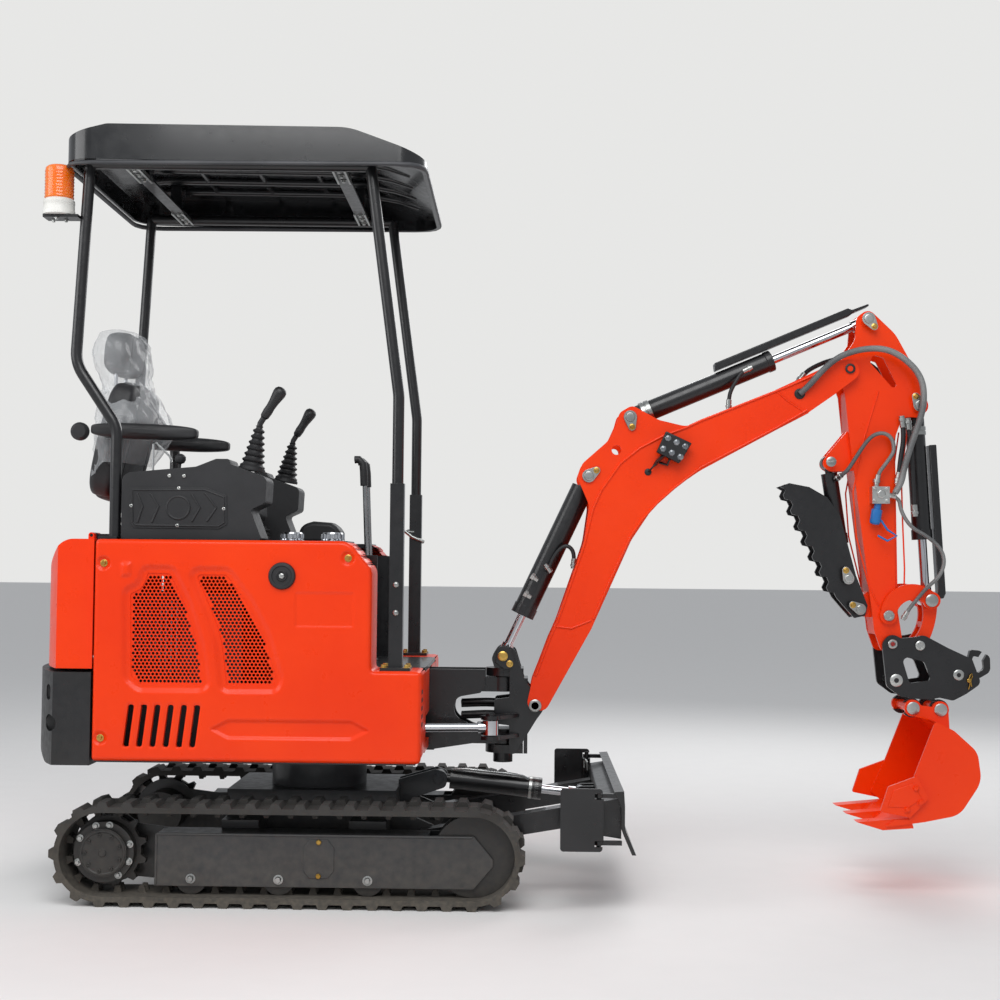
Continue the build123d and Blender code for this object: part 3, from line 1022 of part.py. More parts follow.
def rocker():
    """Left rocker link, an arched plate from the arm to the cylinder's rod pin."""
    g = ROCKER_PIVOT
    i = ROCKER_PIN
    middle = ((g[0] + i[0]) / 2 - 14, (g[1] + i[1]) / 2 + 44)
    strip = Sketch() + disc(g, 27) + disc(i, 27)
    outer = ThreePointArc((g[0] - 24, g[1] + 10), (middle[0] - 8, middle[1] + 27), (i[0] + 6, i[1] + 26))
    inner = ThreePointArc((g[0] + 24, g[1] - 8), (middle[0] + 10, middle[1] - 20), (i[0] - 10, i[1] - 25))
    band = make_face(outer + Line(outer @ 1, inner @ 1) + inner + Line(inner @ 0, outer @ 0))
    strip += band
    strip -= disc(g, PIN_RADIUS + PIN_FIT)
    low = ARM_HALF_WIDTH + SIDE_GAP
    plate = across(strip, low, low + ROCKER_PLATE)
    return plate + rod_y(i, PIN_RADIUS, EYE_HALF_WIDTH + SIDE_GAP, low + ROCKER_PLATE + 4)


def push_link():
    """Curved link from the rod pin down to the coupler."""
    i = ROCKER_PIN
    j = LINK_PIN
    outer = ThreePointArc((i[0] + 26, i[1]), (1952, 822), (j[0] + 24, j[1] - 6))
    inner = ThreePointArc((i[0] - 22, i[1] - 12), (1914, 830), (j[0] - 22, j[1] + 10))
    band = make_face(outer + Line(outer @ 1, inner @ 1) + inner + Line(inner @ 0, outer @ 0))
    strip = Sketch() + disc(i, 25) + disc(j, 24) + band
    strip -= disc(i, PIN_RADIUS + PIN_FIT)
    strip -= disc(j, PIN_RADIUS + 6)
    low = EYE_HALF_WIDTH + SIDE_GAP
    body = both_sides(across(strip, low, low + LINK_PLATE))
    tie = block(1912, 1950, -low - 1, low + 1, 812, 830)
    return body + (tie & across(band, -low - 1, low + 1))


def quick_coupler():
    """Quick coupler: two side plates, cross bars and a lifting hook."""
    h = BUCKET_PIVOT
    j = LINK_PIN
    k = BUCKET_PIN_FRONT
    l = BUCKET_PIN_BACK
    side = outline([
        (h[0] - 32, h[1] + 4, 28), (h[0] - 6, h[1] + 36, 28), (1838, 779, 20), (1880, 783, 10),
        (j[0] + 10, j[1] + 34, 28), (1985, 750, 30), (2060, 716, 10), (2088, 640, 20), (2040, 606, 10),
        (2000, 585, 20), (l[0] + 2, l[1] + 36, 8), (l[0] - 30, l[1] + 30, 8), (1880, 590, 20),
        (1836, 596, 20), (1792, 628, 20)])
    side -= outline([(1838, 724, 14), (1910, 706, 16), (1932, 648, 10), (1864, 638, 10)])
    jaw = BUCKET_PIN_RADIUS + GAP
    side += disc(k, jaw + 14) + disc(l, jaw + 14)
    side -= disc(k, jaw) + Pos(k[0] - 25, k[1]) * Rectangle(50, 2 * jaw)
    side -= disc(l, jaw) + Pos(l[0], l[1] - 25) * Rectangle(2 * jaw, 50)
    y = COUPLER_PLATE_Y
    body = both_sides(across(side, y, y + COUPLER_PLATE))
    for at, radius in (((1822, 646), 13), ((2018, 665), 15), (j, PIN_RADIUS)):
        body += both_sides(rod_y(at, radius, y - 8, y + COUPLER_PLATE + 4))
    body += rod_y((1822, 646), 12, -y, y)
    body += rod_y((2018, 665), 14, -y, y)
    body += across(outline([(1990, 600), (2000, 590), (2060, 640), (2052, 650)]), -y - 1, y + 1)
    hook = outline([(2040, 660), (2062, 700, 8), (2072, 742, 8), (2100, 740, 14), (2135, 722, 20),
                    (2136, 672, 24), (2098, 650, 14), (2080, 640)])
    hook -= outline([(2074, 700, 5), (2082, 722, 5), (2112, 716, 10), (2116, 682, 10), (2096, 668, 5)])
    hook -= outline([(2096, 716), (2120, 752), (2134, 744), (2112, 706)])
    body += across(hook, -9, 9)
    body += block(2040, 2056, -y - 1, y + 1, 655, 690)
    body += rod_y(h, PIN_RADIUS, -y - COUPLER_PLATE - 4, y + COUPLER_PLATE + 4)
    return body


def bucket():
    """Bucket: curved shell between two cheeks, ears, side cutters and teeth."""
    k = BUCKET_PIN_FRONT
    l = BUCKET_PIN_BACK
    cheek = outline([
        (1912, 532, 8), (1969, 504, 40), (2040, 440, 60), (2052, 350, 80), (1985, 248, 70), (1878, 226),
        (1842, 226), (1800, 262, 6), (1845, 360, 10)])
    inner = outline([
        (1900, 540), (1966, 496, 34), (2031, 436, 54), (2043, 352, 72), (1980, 256, 64), (1878, 235),
        (1700, 235), (1700, 540)])
    y = BUCKET_HALF_WIDTH
    body = across(cheek, -y, y) - across(inner, -y + BUCKET_SHELL, y - BUCKET_SHELL)
    lip = outline([(1878, 226), (1880, 236), (1790, 232), (1760, 214), (1764, 209)])
    body += across(lip, -y, y)
    ear = outline([
        (k[0] - 14, k[1] - 20), (k[0], k[1] + 20), (k[0] + 30, k[1] + 8), (l[0] - 20, l[1] + 8),
        (l[0], l[1] + 24), (l[0] + 24, l[1]), (1984, 494), (1910, 527)])
    ear += disc(k, 26) + disc(l, 26)
    ear_y = BUCKET_EAR_Y
    body += both_sides(across(ear, ear_y, ear_y + BUCKET_EAR))
    for pin in (k, l):
        body += rod_y(pin, BUCKET_PIN_RADIUS, -ear_y - BUCKET_EAR - 4, ear_y + BUCKET_EAR + 4)
    for side in (-1, 0, 1):
        y0 = side * (BUCKET_HALF_WIDTH - 32)
        tooth = outline([(1838, 238), (1846, 206), (1752, 199), (TOOTH_TIP[0], TOOTH_TIP[1])])
        body += across(tooth, y0 - 27, y0 + 27)
    cutter = outline([(1766, 333, 5), (1853, 366, 5), (1890, 300, 5), (1832, 240, 5), (1741, 258, 5)])
    body += both_sides(across(cutter, y, y + 10))
    return body


# Hydraulic cylinders

def cylinder_pair(base, tip, barrel_length, barrel_radius, rod_start, pin=PIN_RADIUS, half=EYE_HALF_WIDTH,
                  eye_radius=EYE_RADIUS, guard=None):
    """Barrel and rod of one cylinder lying in the X-Z plane."""
    reach = span(base, tip)
    barrel = barrel_shape(barrel_length, barrel_radius, pin + PIN_FIT, half, eye_radius, guard)
    rod = rod_shape(reach, rod_start, pin + PIN_FIT, half, eye_radius)
    return place_xz(barrel, base, tip), place_xz(rod, base, tip)


def swing_cylinder():
    """Boom swing cylinder, lying flat on the right of the nose."""
    base = SWING_CYL_BASE
    tip = SWING_CYL_EYE
    angle = math.degrees(math.atan2(tip[1] - base[1], tip[0] - base[0]))
    place = Pos(base[0], base[1], SWING_CYL_Z) * Rot(0, 0, angle) * Rot(90, 0, 0)
    reach = span(base, tip)
    bore = PIN_RADIUS + PIN_FIT
    barrel = barrel_shape(SWING_BARREL_LENGTH, SWING_BARREL_RADIUS, bore, EYE_HALF_WIDTH)
    rod = rod_shape(reach, SWING_ROD_START, bore, EYE_HALF_WIDTH)
    return place * barrel, place * rod


def arm_cylinder_guard():
    """Long cover over the arm cylinder's rod, carried by the barrel's gland."""
    length = 520.0
    start = 190.0
    plate = block(start, start + length, -22, 22, ARM_BARREL_RADIUS + 14, ARM_BARREL_RADIUS + 40)
    plate -= block(start - 1, start + length + 1, -16, 16, ARM_BARREL_RADIUS + 12, ARM_BARREL_RADIUS + 34)
    foot = block(start + 60, start + 100, -18, 18, 0, ARM_BARREL_RADIUS + 38)
    foot += block(ARM_BARREL_LENGTH - 36, ARM_BARREL_LENGTH, -18, 18, 0, ARM_BARREL_RADIUS + 38)
    return plate + (foot - Rot(0, 90, 0) * Cylinder(ARM_BARREL_RADIUS - 2, 2000))


boom_barrel, boom_rod = cylinder_pair(
    BOOM_CYL_BASE, BOOM_CYL_ROD, BOOM_BARREL_LENGTH, BOOM_BARREL_RADIUS, BOOM_ROD_START)
arm_barrel, arm_rod = cylinder_pair(
    ARM_CYL_BASE, ARM_CYL_ROD, ARM_BARREL_LENGTH, ARM_BARREL_RADIUS, ARM_ROD_START,
    guard=arm_cylinder_guard())
bucket_barrel, bucket_rod = cylinder_pair(
    BUCKET_CYL_BASE, ROCKER_PIN, BUCKET_BARREL_LENGTH, BUCKET_BARREL_RADIUS, BUCKET_ROD_START)
thumb_barrel, thumb_rod = cylinder_pair(
    THUMB_CYL_BASE, THUMB_CYL_ROD, THUMB_BARREL_LENGTH, THUMB_BARREL_RADIUS, THUMB_ROD_START,
    THUMB_CYL_PIN, THUMB_EYE_HALF, THUMB_EYE_RADIUS)
blade_barrel, blade_rod = cylinder_pair(
    BLADE_CYL_BASE, BLADE_CYL_ROD, BLADE_BARREL_LENGTH, BLADE_BARREL_RADIUS, BLADE_ROD_START)
swing_barrel, swing_rod = swing_cylinder()
beacon_lamp, beacon_plate = beacon()
frame_left = side_frame()

nodes = {
    "centre_frame": centre_frame(),
    "track_frame_left": frame_left,
    "track_frame_right": mirrored(frame_left),
    "rubber_track_left": rubber_track(),
    "travel_motors": both_sides(travel_motor()),
    "front_idlers": both_sides(front_idler()),
    "track_rollers": Compound(children=[s for r in track_rollers() for s in (r, mirrored(r))]),
    "dozer_blade": dozer_blade(),
    "blade_wing_left": blade_wing(),
    "blade_cylinder_barrel": blade_barrel,
    "blade_cylinder_rod": blade_rod,
    "upper_frame": upper_frame(),
    "counterweight": counterweight(),
    "rear_hood": rear_hood(),
    "side_panel_left": side_panel(False),
    "side_panel_right": mirrored(side_panel(True)),
    "front_skirt": both_sides(front_skirt()),
    "floor_plate": floor_plate(),
    "engine_block": engine_block(),
    "seat": seat(),
    "headrest": headrest(),
    "armrests": both_sides(armrest()),
    "console_left": console(),
    "joysticks": both_sides(joystick()),
    "travel_levers": Compound(children=travel_levers()),
    "canopy_frame": canopy_frame(),
    "canopy_roof": canopy_roof(),
    "beacon": beacon_lamp,
    "beacon_bracket": beacon_plate,
    "swing_post": swing_post(),
    "swing_cylinder_barrel": swing_barrel,
    "swing_cylinder_rod": swing_rod,
    "boom": boom(),
    "boom_cylinder_barrel": boom_barrel,
    "boom_cylinder_rod": boom_rod,
    "arm_cylinder_barrel": arm_barrel,
    "arm_cylinder_rod": arm_rod,
    "arm": arm(),
    "thumb": thumb(),
    "thumb_cylinder_barrel": thumb_barrel,
    "thumb_cylinder_rod": thumb_rod,
    "rocker_links": both_sides(rocker()),
    "push_link": push_link(),
    "bucket_cylinder_barrel": bucket_barrel,
    "bucket_cylinder_rod": bucket_rod,
    "quick_coupler": quick_coupler(),
    "bucket": bucket(),
}
nodes["rubber_track_right"] = mirrored(nodes["rubber_track_left"])
nodes["blade_wing_right"] = mirrored(nodes["blade_wing_left"])
nodes["console_right"] = mirrored(nodes["console_left"])

boxes = [shape.bounding_box() for shape in nodes.values()]
MIDDLE_X = (min(b.min.X for b in boxes) + max(b.max.X for b in boxes)) / 2

os.makedirs("parts", exist_ok=True)
for name, shape in nodes.items():
    export_step(Pos(-MIDDLE_X, 0, 0) * shape, "parts/" + name + ".step")
print("nodes", len(nodes), "slewing axis at X", -MIDDLE_X)
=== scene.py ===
"""Mini excavator with a canopy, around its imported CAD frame.

Lengths are millimetres from the slewing axis, unless said."""
import json
import math

import bmesh
import bpy
import numpy as np
from mathutils import Matrix, Vector, noise


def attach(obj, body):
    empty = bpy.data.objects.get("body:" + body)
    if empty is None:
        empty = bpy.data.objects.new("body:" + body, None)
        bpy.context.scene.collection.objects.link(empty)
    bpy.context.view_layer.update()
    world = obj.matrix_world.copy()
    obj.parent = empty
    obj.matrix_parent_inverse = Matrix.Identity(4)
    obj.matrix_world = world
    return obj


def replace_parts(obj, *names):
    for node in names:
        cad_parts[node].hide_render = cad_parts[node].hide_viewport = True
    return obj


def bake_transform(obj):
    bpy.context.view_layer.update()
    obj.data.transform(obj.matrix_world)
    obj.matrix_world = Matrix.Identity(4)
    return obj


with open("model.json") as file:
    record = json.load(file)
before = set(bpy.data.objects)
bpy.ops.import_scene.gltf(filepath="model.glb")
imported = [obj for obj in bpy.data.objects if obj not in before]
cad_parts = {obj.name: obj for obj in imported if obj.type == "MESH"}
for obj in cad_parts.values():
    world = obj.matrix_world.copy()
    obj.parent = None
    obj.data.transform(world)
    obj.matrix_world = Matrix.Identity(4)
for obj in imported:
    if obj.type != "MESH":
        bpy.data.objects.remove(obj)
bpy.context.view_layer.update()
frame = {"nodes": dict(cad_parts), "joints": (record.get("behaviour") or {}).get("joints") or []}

scene = bpy.context.scene
nodes = frame["nodes"]
SLEW_AXIS = next(j for j in frame["joints"] if j["name"] == "slew")["pos_m"][0]


def at(x, y, z):
    """Millimetres from the slewing axis, as a point of the frame in metres."""
    return Vector((x / 1000 + SLEW_AXIS, y / 1000, z / 1000))


# The studio: a pale floor that runs far back behind the machine, one wide lamp over the camera side,
# a faint one off the machine's rear, a weaker one on its far side, and an even pale room. The camera
# stands 5 m from the machine's middle plane at hip height, turned and tilted as the photographer held it.
ROOM_TONE = (0.80, 0.80, 0.79, 1)
FLOOR_TONE = (0.80, 0.79, 0.78, 1)
LENS_MM = 55.94
CAMERA_PLACE = at(656, -5000, 1004)
TURN, TILT, ROLL = math.atan(27 / 1554), math.atan(63 / 1554), 0.0095
scene.view_settings.view_transform = "Standard"
camera = bpy.data.objects.new("camera", bpy.data.cameras.new("camera"))
scene.collection.objects.link(camera)
camera.data.lens = LENS_MM
camera.data.sensor_width = 36
camera.matrix_world = (
    Matrix.Translation(CAMERA_PLACE)
    @ Matrix.Rotation(TURN, 4, "Z")
    @ Matrix.Rotation(math.pi / 2 + TILT, 4, "X")
    @ Matrix.Rotation(ROLL, 4, "Z")
)
scene.camera = camera

room = bpy.data.worlds.new("room")
scene.world = room
room.use_nodes = True
tree = room.node_tree
tree.nodes.clear()
seen, lit = tree.nodes.new("ShaderNodeBackground"), tree.nodes.new("ShaderNodeBackground")
seen.inputs["Color"].default_value = ROOM_TONE
seen.inputs["Strength"].default_value = 1.0
lit.inputs["Color"].default_value = (0.93, 0.96, 1.0, 1)
lit.inputs["Strength"].default_value = 0.52
rays, pick = tree.nodes.new("ShaderNodeLightPath"), tree.nodes.new("ShaderNodeMixShader")
either = tree.nodes.new("ShaderNodeMath")
either.operation = "MAXIMUM"
tree.links.new(rays.outputs["Is Camera Ray"], either.inputs[0])
tree.links.new(rays.outputs["Is Transmission Ray"], either.inputs[1])
tree.links.new(either.outputs[0], pick.inputs[0])
tree.links.new(lit.outputs[0], pick.inputs[1])
tree.links.new(seen.outputs[0], pick.inputs[2])
tree.links.new(pick.outputs[0], tree.nodes.new("ShaderNodeOutputWorld").inputs[0])

for name, place, aim, size, power in (
    ("key_lamp", (300, -3600, 4600), (500, 0, 900), 3.4, 150),
    ("side_lamp", (-3400, -1800, 2600), (0, 0, 900), 2.4, 48),
    ("far_lamp", (2200, 3600, 3800), (700, 0, 1000), 3.0, 90),
):
    lamp = bpy.data.objects.new(name, bpy.data.lights.new(name, "AREA"))
    lamp.data.size = size
    lamp.data.energy = power
    lamp.location = at(*place)
    lamp.rotation_euler = (at(*aim) - at(*place)).to_track_quat("-Z", "Y").to_euler()
    scene.collection.objects.link(lamp)

floor_mesh = bpy.data.meshes.new("floor")
floor_mesh.from_pydata([(-40, -9, 0), (40, -9, 0), (40, 60, 0), (-40, 60, 0)], [], [(0, 1, 2, 3)])
floor = bpy.data.objects.new("floor", floor_mesh)
scene.collection.objects.link(floor)
pale = bpy.data.materials.new("pale_floor")
pale.use_nodes = True
tree = pale.node_tree
shader = tree.nodes["Principled BSDF"]
shader.inputs["Roughness"].default_value = 0.85
grit, tones = tree.nodes.new("ShaderNodeTexNoise"), tree.nodes.new("ShaderNodeValToRGB")
grit.inputs["Scale"].default_value = 9
grit.inputs["Detail"].default_value = 6
tones.color_ramp.elements[0].color = [v * 0.965 for v in FLOOR_TONE[:3]] + [1]
tones.color_ramp.elements[1].color = FLOOR_TONE
tree.links.new(tree.nodes.new("ShaderNodeTexCoord").outputs["Object"], grit.inputs["Vector"])
tree.links.new(grit.outputs["Fac"], tones.inputs["Fac"])
tree.links.new(tones.outputs["Color"], shader.inputs["Base Color"])
floor.data.materials.append(pale)


# The centre frame between the tracks: cut and welded plate, sprayed blue-black with the track frames,
# with dried dust thrown up on to it. The finish helper mixes every paint, rubber and metal of the
# machine: two drifting tones, drifting roughness, fine relief, and edges rounded by a hair.
def tone(red, green, blue):
    """A colour as a paint chart gives it, 0 to 255, in linear light."""
    return [v / 3294.6 if v <= 10 else ((v / 255 + 0.055) / 1.055) ** 2.4 for v in (red, green, blue)] + [1]


def finish(name, light, dark, rough, patch=5.0, relief=0.1, grain=420.0, metal=0.0, coat=0.0,
           edge=1.2, dust=0.0, dust_top=0.5, pattern="noise", **sockets):
    """Paint, rubber, plastic or metal that varies over the surface; colours are 0 to 255, edge is in mm."""
    made = bpy.data.materials.new(name)
    made.use_nodes = True
    tree = made.node_tree
    add, link = tree.nodes.new, tree.links.new
    shader = tree.nodes["Principled BSDF"]
    where = add("ShaderNodeTexCoord").outputs["Object"]
    drift, fine = add("ShaderNodeTexNoise"), add("ShaderNodeTexNoise")
    for node, scale in ((drift, patch), (fine, patch * 9)):
        node.inputs["Scale"].default_value = scale
        node.inputs["Detail"].default_value = 5
        link(where, node.inputs["Vector"])
    tones = add("ShaderNodeValToRGB")
    for element, place, colour in zip(tones.color_ramp.elements, (0.38, 0.66), (dark, light)):
        element.position = place
        element.color = tone(*colour)
    link(drift.outputs["Fac"], tones.inputs["Fac"])
    colour = tones.outputs["Color"]
    spread = add("ShaderNodeMapRange")
    spread.inputs["From Min"].default_value = 0.3
    spread.inputs["From Max"].default_value = 0.7
    spread.inputs["To Min"].default_value = rough[0]
    spread.inputs["To Max"].default_value = rough[1]
    link(fine.outputs["Fac"], spread.inputs["Value"])
    roughness = spread.outputs["Result"]
    if dust:
        level, low = add("ShaderNodeSeparateXYZ"), add("ShaderNodeMapRange")
        link(where, level.inputs[0])
        link(level.outputs["Z"], low.inputs["Value"])
        low.inputs["From Min"].default_value = 0.0
        low.inputs["From Max"].default_value = dust_top
        low.inputs["To Min"].default_value = dust
        low.inputs["To Max"].default_value = dust * 0.12
        patches, share = add("ShaderNodeMath"), add("ShaderNodeMix")
        patches.operation = "MULTIPLY"
        link(low.outputs["Result"], patches.inputs[0])
        link(fine.outputs["Fac"], patches.inputs[1])
        share.data_type = "RGBA"
        share.inputs["B"].default_value = tone(150, 140, 124)
        link(patches.outputs[0], share.inputs["Factor"])
        link(colour, share.inputs["A"])
        colour = share.outputs["Result"]
    relief_source = add("ShaderNodeTexVoronoi" if pattern == "cells" else "ShaderNodeTexNoise")
    relief_source.inputs["Scale"].default_value = grain
    link(where, relief_source.inputs["Vector"])
    bump, soft_edge = add("ShaderNodeBump"), add("ShaderNodeBevel")
    bump.inputs["Strength"].default_value = relief
    bump.inputs["Distance"].default_value = 0.0006
    soft_edge.samples = 4
    soft_edge.inputs["Radius"].default_value = edge / 1000
    link(relief_source.outputs["Distance" if pattern == "cells" else "Fac"], bump.inputs["Height"])
    link(soft_edge.outputs["Normal"], bump.inputs["Normal"])
    link(bump.outputs["Normal"], shader.inputs["Normal"])
    link(colour, shader.inputs["Base Color"])
    link(roughness, shader.inputs["Roughness"])
    shader.inputs["Metallic"].default_value = metal
    shader.inputs["Coat Weight"].default_value = coat
    shader.inputs["Coat Roughness"].default_value = 0.09
    for socket, value in sockets.items():
        shader.inputs[socket.replace("_", " ")].default_value = value
    return made


def paint(material, *names):
    """Gives whole CAD nodes one finish."""
    for name in names:
        nodes[name].data.materials.clear()
        nodes[name].data.materials.append(material)


def turned(centre, axis, profile, sides=20):
    """Turned form: (radius, height) steps up the axis from the centre, in mm."""
    up = Vector(axis).normalized()
    side = up.orthogonal().normalized()
    front = up.cross(side)
    points, faces = [], []
    for radius, height in profile:
        for i in range(sides):
            turn = 2 * math.pi * i / sides
            points.append(Vector(centre) + up * height
                          + (side * math.cos(turn) + front * math.sin(turn)) * radius)
    for ring in range(len(profile) - 1):
        for i in range(sides):
            a, b = ring * sides + i, ring * sides + (i + 1) % sides
            faces.append((a, b, b + sides, a + sides))
    return points, faces + [tuple(range(sides))[::-1], tuple(range(len(points) - sides, len(points)))]


def slab(corners, y_low, y_high):
    """Flat piece cut to (x, z) corners, standing between two widths."""
    count = len(corners)
    points = [Vector((x, y, z)) for y in (y_low, y_high) for x, z in corners]
    faces = [tuple(range(count)), tuple(range(count, 2 * count))[::-1]]
    return points, faces + [(i, (i + 1) % count, count + (i + 1) % count, count + i) for i in range(count)]


def brick(low, high):
    """Square-cut block between two corners."""
    return slab([(low[0], low[2]), (high[0], low[2]), (high[0], high[2]), (low[0], high[2])],
                low[1], high[1])


def bead(route, radius, sides=8, close=False, flat=1.0):
    """Round bar along points, such as a weld bead, a rim or a wire."""
    route = [Vector(p) for p in route]
    count = len(route)
    points, faces = [], []
    up = None
    for i, point in enumerate(route):
        ahead = route[(i + 1) % count] if close or i < count - 1 else point
        behind = route[i - 1] if close or i else point
        along = (ahead - behind).normalized()
        up = along.orthogonal() if up is None else up - along * up.dot(along)
        up.normalize()
        side = along.cross(up)
        for k in range(sides):
            turn = 2 * math.pi * k / sides
            points.append(point + (up * math.cos(turn) * flat + side * math.sin(turn)) * radius)
    for i in range(count if close else count - 1):
        for k in range(sides):
            a, b = i * sides + k, i * sides + (k + 1) % sides
            c, d = (b + sides) % len(points), (a + sides) % len(points)
            faces.append((a, b, c, d))
    if not close:
        faces += [tuple(range(sides))[::-1], tuple(range(len(points) - sides, len(points)))]
    return points, faces


def hex_bolt(centre, axis, across, washer=True):
    """Washer and chamfered hexagon head, seated on the centre."""
    up = Vector(axis).normalized()
    head = Vector(centre) + up * (1.6 if washer else 0)
    shapes = [turned(head, axis, [(across * 0.577, 0), (across * 0.577, across * 0.5),
                                  (across * 0.5, across * 0.6), (across * 0.2, across * 0.62)], 6)]
    if washer:
        shapes.append(turned(centre, axis, [(across * 0.9, 0), (across * 0.9, 1.2), (across * 0.84, 1.6)]))
    return shapes


def joined(name, body, material, shapes, smooth=38, bevel=0.0):
    """One piece from several shapes, riding on a body."""
    points, faces = [], []
    for shape_points, shape_faces in shapes:
        start = len(points)
        points += [at(*p) for p in shape_points]
        faces += [tuple(start + i for i in face) for face in shape_faces]
    mesh = bpy.data.meshes.new(name)
    mesh.from_pydata(points, [], faces)
    shaper = bmesh.new()
    shaper.from_mesh(mesh)
    bmesh.ops.recalc_face_normals(shaper, faces=shaper.faces)
    shaper.to_mesh(mesh)
    shaper.free()
    mesh.shade_smooth()
    mesh.set_sharp_from_angle(angle=math.radians(smooth))
    piece = bpy.data.objects.new(name, mesh)
    scene.collection.objects.link(piece)
    mesh.materials.append(material)
    if bevel:
        rounding = piece.modifiers.new("rounding", "BEVEL")
        rounding.width = bevel / 1000
        rounding.segments = 2
        rounding.limit_method = "ANGLE"
    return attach(piece, body) if body else piece


def mirrored(shapes):
    """Shapes of the right side with their twins on the left."""
    return shapes + [([Vector((p[0], -p[1], p[2])) for p in points], faces) for points, faces in shapes]


frame_paint = finish("frame_paint", (34, 38, 44), (25, 29, 35), (0.36, 0.52), coat=0.15, dust=0.34,
                     dust_top=0.34)
paint(frame_paint, "centre_frame", "track_frame_left", "track_frame_right")
zinc = finish("zinc_plate", (200, 201, 198), (158, 160, 158), (0.24, 0.4), relief=0.12, metal=1.0, edge=0.5)
brass = finish("yellow_zinc", (214, 176, 96), (176, 138, 66), (0.25, 0.4), relief=0.12, metal=1.0, edge=0.5)
PLATE_FACE = -450
bolts = [shape for x in (-314, -58, 202) for shape in hex_bolt((x, PLATE_FACE, 77), (0, -1, 0), 16)]
joined("roller_bolts", "undercarriage", zinc, mirrored(bolts))
plugs = [turned((59, PLATE_FACE - 2, z), (0, -1, 0), [(8, 0), (8, 3), (6, 5.5), (3, 6.2)], 16)
         for z in (187, 89)]
joined("tension_plugs", "undercarriage", brass, mirrored(plugs))
hatch = [(14, 105), (14, 170), (32, 194), (86, 194), (104, 170), (104, 105), (86, 82), (32, 82)]
joined("tension_hatches", "undercarriage", frame_paint,
       mirrored([slab(hatch, PLATE_FACE - 2.5, PLATE_FACE + 1)]), bevel=1.2)
folds = [bead([(-414, PLATE_FACE + 1, 205), (506, PLATE_FACE + 1, 205)], 4),
         bead([(-416, PLATE_FACE + 1, 203), (-416, PLATE_FACE + 1, 60)], 4)]
joined("frame_folds", "undercarriage", frame_paint, mirrored(folds))


# The rubber tracks: black rubber moulded round steel cords, with deep lugs outside. The ground has
# rubbed them grey and left dust in the grooves.
rubber = finish("track_rubber", (46, 46, 47), (26, 26, 28), (0.72, 0.92), patch=9, relief=0.5, grain=190,
                dust=0.5, dust_top=0.34, edge=2.0)
paint(rubber, "rubber_track_left", "rubber_track_right")


# The travel motors, idlers and rollers: iron castings, sprayed black, with their skin still rough.
# Each motor has a turned cover held by nine socket screws, and zinc bolts hold the sprocket's hub.
black_casting = finish("black_casting", (30, 31, 34), (18, 19, 22), (0.38, 0.55), relief=0.35,
                       grain=260, dust=0.2)
paint(black_casting, "travel_motors", "front_idlers", "track_rollers")
SPROCKET = (-570, 150)
COVER_FACE = -462
COVER_STEPS = [(68, 0), (66, 3), (61, 4), (58, 1.5), (12, 1.5), (10, 4)]
cover = [turned((SPROCKET[0], COVER_FACE + 1, SPROCKET[1]), (0, -1, 0), COVER_STEPS, 48)]
for i in range(9):
    turn = math.radians(20 + i * 40)
    screw = (SPROCKET[0] + 52 * math.cos(turn), COVER_FACE - 1, SPROCKET[1] + 52 * math.sin(turn))
    cover.append(turned(screw, (0, -1, 0), [(5.5, 0), (5.5, 3), (4.6, 4), (2.6, 4), (2.6, 1.5)], 16))
joined("motor_covers", "undercarriage", black_casting, mirrored(cover))
HUB_BOLTS = ((16, 78), (-24, 76), (76, 24), (74, -26), (44, -66), (-70, 40), (-76, -30))
bolts = [s for dx, dz in HUB_BOLTS
         for s in hex_bolt((SPROCKET[0] + dx, -448, SPROCKET[1] + dz), (0, -1, 0), 12)]
joined("hub_bolts", "undercarriage", zinc, mirrored(bolts))


# The dozer blade: welded steel, black powder coat, with two folding wings locked by bent wire clips.
# Its cylinder has a plated gland band, a steel pipe along the barrel and a chromed rod.
black_paint = finish("black_paint", (24, 24, 26), (15, 15, 17), (0.26, 0.4), relief=0.16, coat=0.25)
paint(black_paint, "dozer_blade", "blade_wing_left", "blade_wing_right", "blade_cylinder_barrel")
chrome = finish("chrome_rod", (214, 215, 218), (196, 197, 201), (0.06, 0.13), relief=0.04,
                metal=1.0, edge=0.4)
paint(chrome, "blade_cylinder_rod")
steel_pipe = finish("steel_pipe", (190, 191, 190), (146, 148, 149), (0.2, 0.36), relief=0.08,
                    metal=1.0, edge=0.4)


def collar(name, body, base, tip, share, radius, width):
    """Plated band round a cylinder that runs from its base to its tip, both (x, z) on the middle plane."""
    axis = Vector((tip[0] - base[0], 0, tip[1] - base[1]))
    start = Vector((base[0], 0, base[1])) + axis * share
    steps = [(radius - 5, 0), (radius, 2), (radius, width * 0.42), (radius - 1.5, width * 0.46),
             (radius - 1.5, width * 0.54), (radius, width * 0.58), (radius, width - 2), (radius - 5, width)]
    return joined(name, body, zinc, [turned(start, axis, steps, 40)])


collar("blade_cylinder_band", "blade_cylinder_barrel", (382, 318), (835, 272), 0.63, 34.5, 34)
pipes = [bead([(430, -28, 347), (470, -34, 349), (600, -36, 337), (650, -32, 329), (668, -24, 318)], 5, 10)]
joined("blade_cylinder_pipes", "blade_cylinder_barrel", steel_pipe, pipes)
clips = []
for side in (-1, 1):
    y = side * 418
    clips.append(bead([(862, y, 300), (862, y - side * 14, 326), (866, y - side * 30, 330),
                       (871, y - side * 44, 322),
                       (873, y - side * 46, 296)], 3.2, 8))
joined("wing_clips", "dozer_blade", zinc, clips)


# The upper frame and the nose at its front: thick welded plate, black, bored for the swing post. The
# nose carries the hoses to the boom, so they bend where the post swings.
paint(black_paint, "upper_frame", "swing_cylinder_barrel")
paint(chrome, "swing_cylinder_rod")
# Near-black finish for holes and slots: painted shade standing in for the dark inside them.
painted_hole_shade = finish("painted_hole_shade", (12, 12, 13), (8, 8, 9), (0.6, 0.8))


